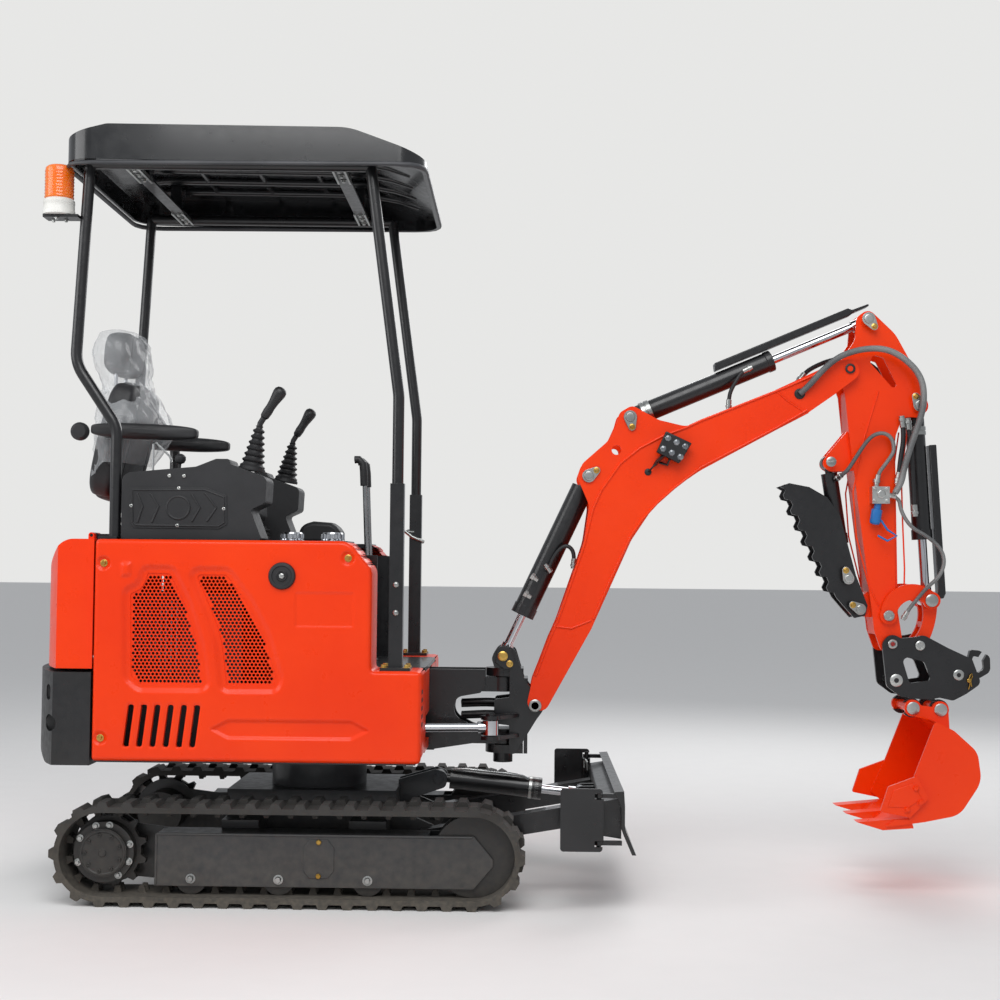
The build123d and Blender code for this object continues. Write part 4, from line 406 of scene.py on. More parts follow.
# The counterweight: a black iron casting behind the engine, with two lifting holes.
paint(black_casting, "counterweight")


# The engine behind the grilles: a grey iron block, with a bright pressed cover whose fins show through
# the sheets.
cast_iron = finish("cast_iron", (96, 97, 99), (58, 59, 62), (0.5, 0.7), relief=0.5, grain=240)
paint(cast_iron, "engine_block")
pressed_metal = finish("pressed_metal", (176, 178, 180), (128, 131, 134), (0.24, 0.42), relief=0.2,
                       metal=0.9, edge=0.6)
fins = [brick((-590 + i * 16, -262, 640), (-583 + i * 16, -231, 880)) for i in range(12)]
joined("engine_cover", "house", pressed_metal, fins, bevel=2)


# The side panels: orange moulded skins with pressed forms and rounded edges, turned in at the top
# and front. The right one has two sail-shaped grilles of perforated sheet over the radiator, a row
# of louvres, a blank plate seat with four rivet holes, and bolts in dished seats.
orange_paint = finish("orange_paint", (245, 62, 3), (237, 54, 2), (0.26, 0.36), patch=2.2, relief=0.1,
                      grain=300, coat=0.12,
                      Specular_IOR_Level=0.25)
black_plastic = finish("moulded_plastic", (38, 38, 40), (28, 28, 30), (0.42, 0.56), relief=0.4,
                       grain=700, edge=2.0)
PANEL_FACE = 450
PANEL_START, PANEL_SPAN = (-614, 414), (966, 650)
GRID = 4.0
EDGE_ROUND, BUMP_HIGH = 13, 7
RIB_DEEP, SAIL_DEEP, BLANK_DEEP, LOUVRE_DEEP, SEAT_DEEP = 8, 9, 2.6, 3, 7
PANEL_EDGE = [(-614, 414, 12), (-614, 1064, 16), (136, 1064, 58), (203, 982, 46), (203, 684, 12),
              (352, 684, 16), (352, 414, 16)]
SAILS = (
    [(-459, 965, 10), (-390, 964, 14), (-345, 874, 200), (-306, 754, 300), (-288, 640, 10), (-473, 639, 20),
     (-502, 663, 20),
     (-508, 903, 10), (-478, 918, 30), (-463, 942, 20)],
    [(-316, 962, 12), (-225, 962, 24), (-162, 879, 150), (-111, 781, 200), (-74, 661, 14), (-81, 639, 10),
     (-220, 638, 10),
     (-237, 772, 300), (-274, 870, 150)],
)
LOUVRES = [[(-507 + i * 39, 580, 9), (-489 + i * 39, 580, 9), (-504 + i * 39, 456, 9),
            (-522 + i * 39, 456, 9)] for i in range(6)]
RIB = [(-272, 510, 6), (-214, 541, 16), (150, 541, 16), (208, 510, 6), (150, 480, 16), (-214, 480, 16)]
BLANK = [(-24, 914, 8), (153, 914, 8), (155, 810, 8), (-22, 810, 8)]
PANEL_SEATS = ((-587, 993), (133, 1014), (-588, 481))


def rounded(corners, steps=8):
    """Outline with its corners rounded by their radii, from (x, z, radius) corners."""
    made = []
    for i, (x, z, radius) in enumerate(corners):
        here = Vector((x, z))
        back = Vector(corners[i - 1][:2]) - here
        ahead = Vector(corners[(i + 1) % len(corners)][:2]) - here
        half = back.angle(ahead) / 2
        run = min(radius / math.tan(half), back.length * 0.49, ahead.length * 0.49)
        start, end = here + back.normalized() * run, here + ahead.normalized() * run
        for k in range(steps + 1):
            share = k / steps
            made.append(tuple(start * (1 - share) ** 2 + here * 2 * share * (1 - share) + end * share ** 2))
    return made


def reach(spots, outline):
    """How far each spot lies inside an outline (below nothing outside), and the outline's nearest point."""
    within = np.zeros(len(spots), bool)
    nearest = np.full(len(spots), 1e9)
    foot = spots.copy()
    for a, b in zip(np.array(outline), np.roll(np.array(outline), -1, axis=0)):
        crosses = (a[1] > spots[:, 1]) != (b[1] > spots[:, 1])
        rise = b[1] - a[1] if b[1] != a[1] else 1e-9
        within ^= crosses & (spots[:, 0] < (b[0] - a[0]) * (spots[:, 1] - a[1]) / rise + a[0])
        share = np.clip(((spots - a) @ (b - a)) / max((b - a) @ (b - a), 1e-9), 0, 1)
        on_line = a + share[:, None] * (b - a)
        away = np.linalg.norm(spots - on_line, axis=1)
        closer = away < nearest
        nearest[closer] = away[closer]
        foot[closer] = on_line[closer]
    return np.where(within, nearest, -nearest), foot


def slope(distance, width):
    """Smooth step from 0 to 1 over a width of metal."""
    share = np.clip(distance / width, 0, 1)
    return share * share * (3 - 2 * share)


def body_panel(name, side, grilles):
    """Skin pressed from a grid of spots: sunk forms, cut openings and edges turned inwards."""
    edge = rounded(PANEL_EDGE)
    cuts = [rounded(sail) for sail in SAILS if grilles] + [rounded(louvre) for louvre in LOUVRES]
    across, up = int(PANEL_SPAN[0] / GRID) + 1, int(PANEL_SPAN[1] / GRID) + 1
    spots = np.array([(PANEL_START[0] + i * GRID, PANEL_START[1] + k * GRID) for k in range(up)
                      for i in range(across)])
    for outline in [edge] + cuts:
        distance, foot = reach(spots, outline)
        close = np.abs(distance) < GRID * 0.55
        spots[close] = foot[close]
    margin = reach(spots, edge)[0]
    sunk = EDGE_ROUND - np.sqrt(np.maximum(0, EDGE_ROUND ** 2 - np.maximum(0, EDGE_ROUND - margin) ** 2))
    sunk += RIB_DEEP * slope(reach(spots, rounded(RIB))[0], 11)
    if grilles:
        for sail in SAILS:
            sunk += SAIL_DEEP * slope(reach(spots, rounded(sail))[0] + 28, 20)
        sunk += BLANK_DEEP * slope(reach(spots, rounded(BLANK))[0], 6)
        lifted = reach(spots, rounded([(-538, 1000, 10), (-500, 1000, 10), (-500, 950, 24),
                                       (-538, 950, 10)]))[0]
        sunk -= BUMP_HIGH * slope(lifted, 14)
    for louvre in LOUVRES:
        sunk += LOUVRE_DEEP * slope(reach(spots, rounded(louvre))[0] + 7, 7)
    for x, z in PANEL_SEATS:
        sunk += SEAT_DEEP * slope(23 - np.hypot(spots[:, 0] - x, spots[:, 1] - z), 9)
    corners = [(k * across + i, k * across + i + 1, (k + 1) * across + i + 1, (k + 1) * across + i)
               for k in range(up - 1) for i in range(across - 1)]
    centres = spots[np.array(corners)].mean(axis=1)
    removed = reach(centres, edge)[0] < 0.05
    for outline in cuts:
        removed |= reach(centres, outline)[0] > 0.05
    shape = bmesh.new()
    for (x, z), depth in zip(spots, sunk):
        shape.verts.new(at(x, side * (PANEL_FACE - depth), z))
    shape.verts.ensure_lookup_table()
    for face, gone in zip(corners, removed):
        if not gone:
            shape.faces.new([shape.verts[i] for i in face])
    bmesh.ops.delete(shape, geom=[v for v in shape.verts if not v.link_faces], context="VERTS")
    rim = [e for e in shape.edges if e.is_boundary]
    grown = bmesh.ops.extrude_edge_only(shape, edges=rim)["geom"]
    for vertex in grown:
        if isinstance(vertex, bmesh.types.BMVert):
            spot = np.array([[(vertex.co.x - SLEW_AXIS) * 1000, vertex.co.z * 1000]])
            outer = abs(reach(spot, edge)[0][0]) < 1.0
            turned_in = outer and vertex.co.z > 0.43 and spot[0][0] > -610
            vertex.co.y = side * (0.27 if turned_in else min(abs(vertex.co.y), 0.438) - 0.006)
    bmesh.ops.recalc_face_normals(shape, faces=shape.faces)
    mesh = bpy.data.meshes.new(name)
    shape.to_mesh(mesh)
    shape.free()
    mesh.shade_smooth()
    mesh.set_sharp_from_angle(angle=math.radians(55))
    panel = bpy.data.objects.new(name, mesh)
    scene.collection.objects.link(panel)
    mesh.materials.append(orange_paint)
    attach(panel, "house")
    return panel


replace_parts(body_panel("panel_skin_right", -1, True), "side_panel_right")
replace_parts(body_panel("panel_skin_left", 1, False), "side_panel_left")
bolts = [s for x, z in PANEL_SEATS for s in hex_bolt((x, -443.5, z), (0, -1, 0), 12)]
joined("panel_bolts", "house", brass, mirrored(bolts))
HOLE_PITCH = 11.7
HOLE_RADIUS = 4.7
points, faces = [], []
for sail in SAILS:
    outline = rounded(sail)
    spots = np.array([(min(c[0] for c in sail) - 12 + (column + row % 2 / 2) * HOLE_PITCH,
                       628 + row * HOLE_PITCH * 0.866)
                      for row in range(34) for column in range(24)])
    inside = reach(spots, outline)[0]
    for (x, z), within in zip(spots, inside):
        if within > -11:
            start = len(points)
            hole = HOLE_RADIUS if within > 6 else 0.05
            for radius, depth in ((HOLE_PITCH / 1.732, 0), (hole, 0), (hole, 1.5)):
                for k in range(6):
                    turn = math.radians(30 + 60 * k)
                    points.append((x + radius * math.cos(turn), -438.5 + depth,
                                   z + radius * math.sin(turn)))
            faces += [(start + ring + k, start + ring + (k + 1) % 6, start + ring + 6 + (k + 1) % 6,
                       start + ring + 6 + k)
                      for ring in (0, 6) for k in range(6)]
joined("grille_sheets", "house", orange_paint, [(points, faces)])
RIVET_HOLES = ((0, 896), (134, 895), (-1, 829), (133, 827))
# The rivet holes are near-black discs: painted shade standing in for the open holes.
rivet_hole_shades = [turned((x, -447, z), (0, -1, 0), [(2.6, -0.5), (2.6, 0.25)], 12) for x, z in RIVET_HOLES]
joined("plate_hole_shade", "house", painted_hole_shade, rivet_hole_shades)


# The front skirt: the orange panel that closes the house at the front, slotted for the boom's swing,
# with steps at both sides that have short vents in their front faces.
paint(orange_paint, "front_skirt")
# The vents are thin near-black slabs laid on the step faces: painted shade standing in for the open slots.
vent_shade_slabs = [brick((351.5, -430, 520 + i * 24), (352.6, -380, 532 + i * 24)) for i in range(5)]
joined("step_vent_shade", "house", painted_hole_shade, mirrored(vent_shade_slabs))


# The fuel cap: black moulded plastic with a finger grip across it and a zinc lock in the middle.
cap = [turned((-60, -450, 960), (0, -1, 0), [(40, 0), (40, 5), (37, 9), (30, 10), (28, 7), (20, 7)], 40),
       turned((-60, -452, 960), (0, -1, 0), [(17, 0), (17, 7), (14, 10), (13, 7), (8, 7)], 24)]
joined("fuel_cap", "house", black_plastic, cap)
joined("fuel_cap_lock", "house", zinc, [turned((-60, -459, 960), (0, -1, 0), [(8, 0), (8, 3), (6, 4)], 6)])


# The rear hood: an orange moulded cover over the engine, hinged at the top and held by a latch.
paint(orange_paint, "rear_hood")
latch = [brick((-846, -24, 726), (-838, 24, 748)), brick((-849, -15, 730), (-845, 15, 740))]
joined("hood_latch", "rear_hood", black_plastic, latch, bevel=2)


# The deck's fittings: two chromed, fluted filler caps beside the right console and a black moulded
# cover on the left, over the lever linkage.
chrome_trim = finish("chrome_trim", (216, 217, 220), (186, 188, 192), (0.08, 0.2), relief=0.06,
                     metal=1.0, edge=0.8)
paint(black_paint, "floor_plate")
caps = []
for x in (-55, 69):
    centre = Vector((x, -300, 1064))
    caps.append(turned(centre, (0, 0, 1),
                       [(37, 0), (38, 3), (33, 6), (31, 8), (31, 21), (33, 22), (30, 27), (12, 28)], 36))
    for i in range(14):
        turn = 2 * math.pi * i / 14
        foot = centre + Vector((33 * math.cos(turn), 33 * math.sin(turn), 8))
        caps.append(bead([foot, foot + Vector((0, 0, 14))], 3.2, 8))
joined("filler_caps", "house", chrome_trim, caps)
hump = [(-120, 1065), (-120, 1108), (-104, 1130), (-70, 1140), (-10, 1136), (14, 1122),
        (25, 1100), (25, 1065)]
joined("linkage_cover", "house", black_plastic, [slab(hump, 272, 398)], bevel=14)


# The operator's seat: foam under black grained vinyl, sewn in panels with piping round the edges, on
# a black steel base. The back leans, and the armrests and headrest are small pads of the same vinyl.
vinyl = finish("black_vinyl", (36, 36, 38), (24, 24, 26), (0.42, 0.56), relief=0.55, grain=620, edge=1.5,
               pattern="cells")
PAD_CUTS = 26


def pad(name, centre, size, lean, seams, crown, waist, swell, square=5.0):
    """Upholstered pad of sewn panels, stuffed till it swells between its seams. Lean is in degrees."""
    shape = bmesh.new()
    bmesh.ops.create_cube(shape, size=2)
    bmesh.ops.subdivide_edges(shape, edges=shape.edges, cuts=PAD_CUTS, use_grid_fill=True)
    turn = Matrix.Rotation(math.radians(lean), 3, "Y")
    rows = {seam: [] for seam in seams}
    step = 2 / (PAD_CUTS + 1)
    for vertex in shape.verts:
        u, v, w = vertex.co
        for seam in seams:
            if abs(v - seam) < step * 0.51:
                rows[seam].append(vertex.index)
        scale = (abs(u) ** square + abs(v) ** square + abs(w) ** square) ** (-1 / square)
        a, b, c = u * scale, v * scale, w * scale
        pull = sum(math.exp(-((v - seam) / 0.06) ** 2) for seam in seams)
        thick = 1 + crown * (1 - a * a) * (1 - b * b) - 0.09 * pull
        place = Vector((a * size[0] * (1 - waist * (1 - b * b)), b * size[1] * (1 - waist * (1 - a * a)),
                        c * size[2] * thick)) / 2
        vertex.co = at(*(Vector(centre) + turn @ place))
    mesh = bpy.data.meshes.new(name)
    shape.verts.ensure_lookup_table()
    shape.to_mesh(mesh)
    shape.free()
    mesh.shade_smooth()
    piece = bpy.data.objects.new(name, mesh)
    scene.collection.objects.link(piece)
    mesh.materials.append(vinyl)
    sewn = piece.vertex_groups.new(name="sewn")
    sewn.add([i for row in rows.values() for i in row], 1.0, "REPLACE")
    stuffing = piece.modifiers.new("stuffing", "CLOTH")
    stuffing.settings.use_pressure = True
    stuffing.settings.uniform_pressure_force = 5
    stuffing.settings.vertex_group_mass = "sewn"
    stuffing.settings.effector_weights.gravity = 0
    for moment in range(1, 16):
        scene.frame_set(moment)
    stuffed = piece.evaluated_get(bpy.context.evaluated_depsgraph_get()).data
    moves = [b.co - a.co for a, b in zip(mesh.vertices, stuffed.vertices)]
    piece.modifiers.clear()
    scene.frame_set(1)
    for vertex, move in zip(mesh.vertices, moves):
        if move.length > swell / 1000:
            move *= swell / 1000 / move.length
        vertex.co += move
    smooth = piece.modifiers.new("smooth", "SUBSURF")
    smooth.levels = smooth.render_levels = 1
    welts = []
    middle = at(*centre)
    for row in rows.values():
        ring = sorted((mesh.vertices[i].co for i in row),
                      key=lambda p: math.atan2(p.z - middle.z, p.x - middle.x))
        if ring:
            welts.append(bead([((p.x - SLEW_AXIS) * 1000, p.y * 1000, p.z * 1000) for p in ring], 2.6, 6,
                              close=True))
    if welts:
        joined(name + "_piping", "house", vinyl, welts, smooth=80)
    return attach(piece, "house")


cushion = pad("seat_cushion", (-416, 0, 1176), (438, 424, 92), 2, (-0.62, 0.62), 0.12, 0.02, 7)
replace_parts(cushion, "seat")
pad("seat_back", (-646, 0, 1380), (96, 392, 376), 12.5, (-0.6, 0.6), 0.02, 0.02, 7)
headrest = pad("headrest_pad", (-652, 0, 1664), (92, 248, 132), 5, (-0.7, 0.7), 0.05, 0.03, 5, 4.0)
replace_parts(headrest, "headrest")
right_armrest = pad("armrest_right", (-520, -255, 1397), (334, 56, 40), 2, (), 0.1, 0.02, 2)
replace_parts(right_armrest, "armrests")
pad("armrest_left", (-520, 255, 1397), (334, 56, 40), 2, (), 0.1, 0.02, 2)
stems = [bead([(-664, y, 1560), (-664, y, 1608)], 6, 12) for y in (-60, 60)]
joined("headrest_stems", "house", chrome_trim, stems)
frame_bars = []
for y in (-212, 212):
    side = 1 if y > 0 else -1
    frame_bars.append(bead([(-640, y - side * 22, 1300), (-655, y - side * 6, 1392),
                            (-655, y + side * 14, 1398)], 11, 12))
    frame_bars.append(brick((-600, y - 8, 1118), (-230, y + 8, 1134)))
frame_bars.append(slab([(-612, 1066), (-600, 1120), (-215, 1120), (-202, 1066)], -200, 200))
for z in (1078, 1092, 1106):
    frame_bars.append(bead([(-606, -198, z), (-208, -198, z), (-208, 198, z), (-606, 198, z)], 5, 8,
                           close=True))
joined("seat_base", "house", black_paint, frame_bars, bevel=3)


# The delivery film: clear polythene drawn over the headrest and the seat's back, gathered at the neck
# and hanging behind. It is thin, crumpled and full of small bright creases.
film = finish("clear_film", (236, 238, 240), (214, 217, 220), (0.08, 0.2), relief=0.9, grain=70,
              edge=0.2, Alpha=0.3,
              Specular_IOR_Level=0.9)
FILM_RINGS = (
    (1742, -668, 22, 60), (1732, -664, 56, 112), (1700, -660, 78, 148), (1655, -658, 84, 158),
    (1610, -650, 80, 156),
    (1572, -644, 70, 146), (1545, -636, 72, 142), (1515, -628, 88, 176), (1470, -622, 104, 212),
    (1430, -616, 112, 226),
    (1398, -620, 110, 228), (1350, -636, 96, 226), (1290, -660, 70, 222),
)
points, faces = [], []
AROUND = 96
for number, (z, x, reach_x, reach_y) in enumerate(FILM_RINGS[:-1]):
    for part in range(4):
        share = part / 4
        low = FILM_RINGS[number + 1]
        height, mid, front, wide = (p + (q - p) * share for p, q in zip((z, x, reach_x, reach_y), low))
        for i in range(AROUND):
            turn = 2 * math.pi * i / AROUND
            spot = Vector((mid + front * math.cos(turn), wide * math.sin(turn), height))
            hang = max(0, number + share - 9) * 26 * max(0, -math.cos(turn))
            crease = noise.noise(spot / 46) * 15 + (0.5
                                                    - abs(noise.noise(spot / 19 + Vector((5, 2, 1))))) * 9
            gather = math.sin(turn * 17) * 5 * math.exp(-((height - 1548) / 30) ** 2)
            out = Vector((math.cos(turn), math.sin(turn), 0))
            points.append(spot + out * (crease + gather) - Vector((0, 0, hang)))
rows = len(points) // AROUND
for row in range(rows - 1):
    for i in range(AROUND):
        a, b = row * AROUND + i, row * AROUND + (i + 1) % AROUND
        faces.append((a, b, b + AROUND, a + AROUND))
faces.append(tuple(range(AROUND)))
bag = joined("seat_film", "house", film, [(points, faces)], smooth=180)


# The control consoles: moulded black plastic boxes either side of the seat. A shallow raised panel
# with chevrons is screwed to each outer face, and a knob and a link stick up from the right one.
paint(black_plastic, "console_left", "console_right")
FACE_Y = -400
PANEL = [(-525, 1219), (-300, 1221), (-236, 1197), (-234, 1111), (-257, 1097), (-511, 1098), (-523, 1113)]
relief = [slab(PANEL, FACE_Y - 2.5, FACE_Y + 1),
          turned((-380, FACE_Y - 2, 1159), (0, -1, 0), [(37, 0), (36, 3), (33, 4), (31, 2), (6, 2)], 40)]
for chevron in ([(-503, 1201), (-486, 1162), (-501, 1114)], [(-463, 1201), (-438, 1162), (-458, 1115)],
                [(-341, 1202), (-315, 1159), (-339, 1118)], [(-300, 1203), (-266, 1160), (-294, 1119)]):
    relief.append(bead([(x, FACE_Y - 2.5, z) for x, z in chevron], 3.4, 8))
rim = [(x, FACE_Y - 2.5, z) for x,
       z in [(-517, 1211), (-302, 1213), (-244, 1191), (-242, 1116), (-259, 1105), (-507, 1106),
             (-515, 1116)]]
relief.append(bead(rim, 2.6, 8, close=True))
joined("console_panels", "house", black_plastic, mirrored(relief), bevel=1)
SCREWS = ((-408, 1254), (-364, 1254), (-379, 1217), (-520, 1164), (-244, 1157), (-382, 1106))
screws = [turned((x, FACE_Y - 2, z), (0, -1, 0), [(5.5, 0), (5.2, 2.2), (3, 3.4), (1.5, 2)], 14) for x,
          z in SCREWS]
joined("console_screws", "house", zinc, mirrored(screws))
knob = [turned((-402, -300, 1282), (0.1, 0, 1),
               [(5, 0), (5, 14), (13, 18), (17, 27), (16, 37), (9, 43), (3, 45)], 24),
        turned((-716, -258, 1395), (0, -1, 0), [(24, 0), (28, 6), (28, 18), (20, 26), (6, 27)], 28)]
joined("console_knobs", "house", black_plastic, knob)
link = [bead([(-482, -300, 1262), (-482, -300, 1356), (-474, -300, 1360), (-431, -300, 1318),
              (-425, -300, 1300)], 3.5, 8)]
joined("console_link", "house", steel_pipe, link)


# The joysticks: a black rubber bellows on a plated base plate, and a bent hand grip of soft plastic.
grip_plastic = finish("grip_plastic", (30, 30, 32), (22, 22, 24), (0.34, 0.48), relief=0.35, grain=900,
                      pattern="cells")
soft_rubber = finish("bellows_rubber", (27, 27, 29), (18, 18, 20), (0.48, 0.62), relief=0.25, grain=500)
for side, label in ((-1, "right"), (1, "left")):
    foot = Vector((-176, side * 332, 1272))
    up = Vector((24, 0, 144)).normalized()
    folds = [(40, 2), (41, 8)]
    for i in range(7):
        wide = 37 - i * 3.3
        folds += [(wide, 14 + i * 18), (wide + 1, 18 + i * 18), (wide - 7, 24 + i * 18),
                  (wide - 8, 28 + i * 18)]
    folds.append((12, 140))
    bellows = joined("bellows_" + label, "house", soft_rubber, [turned(foot, up, folds, 32)], smooth=50)
    if side < 0:
        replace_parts(bellows, "joysticks")
    seat_of_boot = [turned(foot - up * 3, (math.sin(0.347), 0, math.cos(0.347)),
                           [(48, -3), (48, 1), (45, 3), (20, 3)], 4)]
    joined("bellows_plate_" + label, "house", zinc, seat_of_boot, bevel=1.5)
    lean = Vector((63, 0, 102)).normalized()
    grip = [bead([foot + up * 132, foot + up * 148, Vector((-120, side * 332, 1470))], 9, 14),
            turned((-142, side * 332, 1434), lean,
                   [(9, 0), (13, 6), (14.5, 24), (13.5, 40), (15, 58), (18, 76), (20, 88),
                    (19, 98), (13, 106), (4, 109)], 24)]
    joined("joystick_grip_" + label, "house", grip_plastic, grip, smooth=60)


# The travel levers: two zinc rods through the footwell floor, with rubber boots at the foot and
# hooked black hand grips.
levers, grips = [], []
for y in (-52, 52):
    levers.append(bead([(150, y, 700), (150, y, 900), (148, y, 1000), (137, y, 1260)], 7, 12))
    grips.append(turned((150, y, 684.5), (0, 0, 1),
                        [(27, 0), (27, 5), (20, 9), (21, 14), (14, 19), (15, 24), (8, 30)], 24))
    grips.append(bead([(136, y, 1246), (134, y, 1290), (131, y, 1318), (118, y, 1330),
                       (104, y, 1329)], 12.5, 16))
rods = joined("travel_lever_rods", "house", steel_pipe, levers, smooth=60)
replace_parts(rods, "travel_levers")
joined("travel_lever_grips", "house", grip_plastic, grips, smooth=60, bevel=2)


# The canopy frame: black-coated steel tube on square sleeves, bolted through each front post, with a
# zinc grab handle on the left and flanged feet held by yellow nuts.
paint(black_paint, "canopy_frame", "beacon_bracket")
bolts = []
for side in (-1, 1):
    for z in (937, 854):
        bolts.append(turned((271, side * 405, z), (0, side, 0),
                            [(9.5, 0), (9.5, 1.5), (8, 4), (4, 6), (1, 6.4)], 20))
joined("sleeve_bolts", "house", zinc, bolts)
nuts = [s for side in (-1, 1) for x in (238, 306) for y in (352, 418)
        for s in hex_bolt((x, side * y, 693), (0, 0, 1), 13)]
joined("foot_nuts", "house", brass, nuts)
handle = [bead([(268, 366, 1108), (244, 372, 1112), (236, 366, 1110), (262, 356, 1090), (300, 362, 1076),
                (296, 380, 1074)], 6, 12)]
joined("grab_handle", "house", zinc, handle, smooth=60)


# The canopy roof: one sheet of glossy black plastic, vacuum-formed, with a duller lip round it. Ribs
# and bolted stiffener channels run across its underside.
roof_plastic = finish("roof_plastic", (26, 27, 29), (19, 20, 22), (0.16, 0.28), patch=3, relief=0.12,
                      grain=60, coat=0.3, edge=3)
paint(roof_plastic, "canopy_roof")
lip_plastic = finish("roof_lip", (66, 67, 70), (50, 51, 54), (0.4, 0.55), relief=0.3, grain=300)
LIP = ((-735, 372), (-731, 404), (-716, 434), (-690, 453), (-645, 461), (-300, 461), (0, 461),
       (255, 461), (302, 453),
       (327, 434), (341, 404), (345, 372))
edge_points = [(x * 0.998, -y * 0.998, 2180) for x, y in LIP] + [(x * 0.998, y * 0.998, 2180) for x,
                                                                 y in reversed(LIP)]
joined("roof_lip", "house", lip_plastic, [bead(edge_points, 6, 10, close=True, flat=1.3)], smooth=60)
ribs = []
for y in (-300, -150, 0, 150, 300):
    ribs.append(bead([(-640, y, 2268), (-560, y, 2276), (100, y, 2268), (210, y, 2248),
                      (280, y, 2226)], 13, 10))
for x in (-420, -230, -40):
    ribs.append(bead([(x, -410, 2276), (x, 410, 2276)], 10, 10))
joined("roof_ribs", "house", roof_plastic, ribs, smooth=60)
channels, heads = [], []
for x in (-540, 80):
    for side in (-1, 1):
        channels.append(brick((x - 21, side * 300 - 85, 2176), (x - 14, side * 300 + 85, 2192)))
        channels.append(brick((x + 14, side * 300 - 85, 2176), (x + 21, side * 300 + 85, 2192)))
        for y in (240, 300, 360):
            heads += hex_bolt((x, side * y, 2183.5), (0, 0, -1), 11)
joined("roof_channels", "house", zinc, channels, bevel=1)
joined("roof_bolts", "house", zinc, heads)


# The beacon: an orange ribbed lens over a turning reflector, on a white plastic base that three nuts
# hold to its bracket.
lens_plastic = finish("beacon_lens", (255, 132, 12), (246, 110, 4), (0.12, 0.22), patch=12, relief=0.15,
                      coat=0.5, Alpha=0.86,
                      Subsurface_Weight=0.25)
white_plastic = finish("white_plastic", (232, 231, 226), (214, 213, 208), (0.35, 0.5),
                       relief=0.25, grain=500)
BEACON = (-760, -385)
lens_steps = [(41, 0), (43.5, 3)]
for i in range(9):
    lens_steps += [(43.5, 6 + i * 9.6), (42, 9 + i * 9.6), (42, 11 + i * 9.6)]
lens_steps += [(41, 94), (34, 100), (20, 101.5)]
lens = joined("beacon_lens", "house", lens_plastic, [turned((*BEACON, 2085), (0, 0, 1), lens_steps, 48)],
              smooth=50)
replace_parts(lens, "beacon")
joined("beacon_reflector", "house", chrome_trim,
       [turned((*BEACON, 2086), (0, 0, 1), [(12, 0), (14, 40), (30, 70), (31, 78), (8, 80)], 32)])
base_steps = [(44, 0), (47.5, 2), (47.5, 14), (46, 16), (46, 34), (47, 36), (46, 45), (40, 51)]
joined("beacon_base", "house", white_plastic, [turned((*BEACON, 2035), (0, 0, 1), base_steps, 48)])
nuts = []
for turn in (0.5, 2.6, 4.7):
    nuts += hex_bolt((BEACON[0] + 22 * math.cos(turn), BEACON[1] + 22 * math.sin(turn), 2025.5),
                     (0, 0, -1), 9)
joined("beacon_nuts", "house", zinc, nuts)


# The swing post: a welded black bracket that turns on a kingpin in the nose. Plates lock its pins,
# and a bronze bush shows below. The hoses pass through it from the nose.
paint(black_paint, "swing_post")
post_lock = [slab([(560, 690), (566, 735), (588, 745), (612, 730), (622, 700), (615, 672),
                   (590, 668)], -79, -75)]
joined("post_lock_plate", "swing_post", black_paint, post_lock, bevel=1.5)
locks = hex_bolt((606, -79, 686), (0, -1, 0),
                 12) + [turned((584, -79, 710), (0, -1, 0), [(16, 0), (16, 3), (13, 5), (4, 5)], 28)]
joined("post_bolts", "swing_post", brass, locks)
kingpin = [turned((586, 0, 403), (0, 0, -1),
                  [(30, 0), (30, 6), (27, 8), (27, 14), (30, 16), (30, 24), (24, 28), (10, 29)], 32)]
joined("kingpin_bush", "swing_post", brass, kingpin)
grease = finish("red_grease", (170, 34, 28), (140, 24, 20), (0.3, 0.45), patch=30, relief=0.3)
joined("swing_grease_point", "swing_post", grease,
       [turned((549, -150, 503), (0, 0, 1), [(8, 0), (8, 4), (4, 9), (2, 10)], 16)])


# The hoses: rubber over wire braid, with plated crimped ends. The ones over the boom and arm joints
# wear a grey spiral guard, and each is free between its two ports.
hose_rubber = finish("hose_rubber", (34, 34, 36), (22, 22, 24), (0.42, 0.6), relief=0.4,
                     grain=500, edge=0.4)
braid = finish("braided_guard", (138, 138, 137), (96, 97, 98), (0.34, 0.5), relief=1.0, grain=900,
               metal=0.35, pattern="cells", edge=0.4)


def hose(name, material, diameter, route, y, body, onto=None, ends=True):
    """Hose between two ports, along (x, z) or (x, y, z) points. onto is the body past a joint."""
    line = bpy.data.curves.new(name + "_line", "CURVE")
    line.dimensions = "3D"
    spline = line.splines.new("NURBS")
    spline.points.add(len(route) - 1)
    for point, spot in zip(spline.points, route):
        place = at(*spot) if len(spot) == 3 else at(spot[0], y, spot[1])
        point.co = (*place, 1)
    spline.order_u = 3
    spline.use_endpoint_u = True
    spline.resolution_u = 10
    carrier = bpy.data.objects.new(name + "_line", line)
    scene.collection.objects.link(carrier)
    followed = bpy.data.meshes.new_from_object(carrier)
    path = [v.co.copy() for v in followed.vertices]
    bpy.data.objects.remove(carrier)
    millimetres = [((p.x - SLEW_AXIS) * 1000, p.y * 1000, p.z * 1000) for p in path]
    tube = joined(name, None if onto else body, material, [bead(millimetres, diameter / 2, 12)], smooth=80)
    if ends:
        for label, first, second, host in (("start", 0, 3, body), ("end", -1, -4, onto or body)):
            foot, inner = Vector(millimetres[first]), Vector(millimetres[second])
            steps = [(diameter * 0.62, 0), (diameter * 0.62, diameter * 0.5),
                     (diameter * 0.78, diameter * 0.55),
                     (diameter * 0.78, diameter * 1.1), (diameter * 0.66, diameter * 1.2),
                     (diameter * 0.66, diameter * 2.4),
                     (diameter * 0.56, diameter * 2.5)]
            end = joined(name + "_" + label, host, zinc, [turned(foot, inner - foot, steps, 18)])
    if onto:
        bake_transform(tube)
    return tube


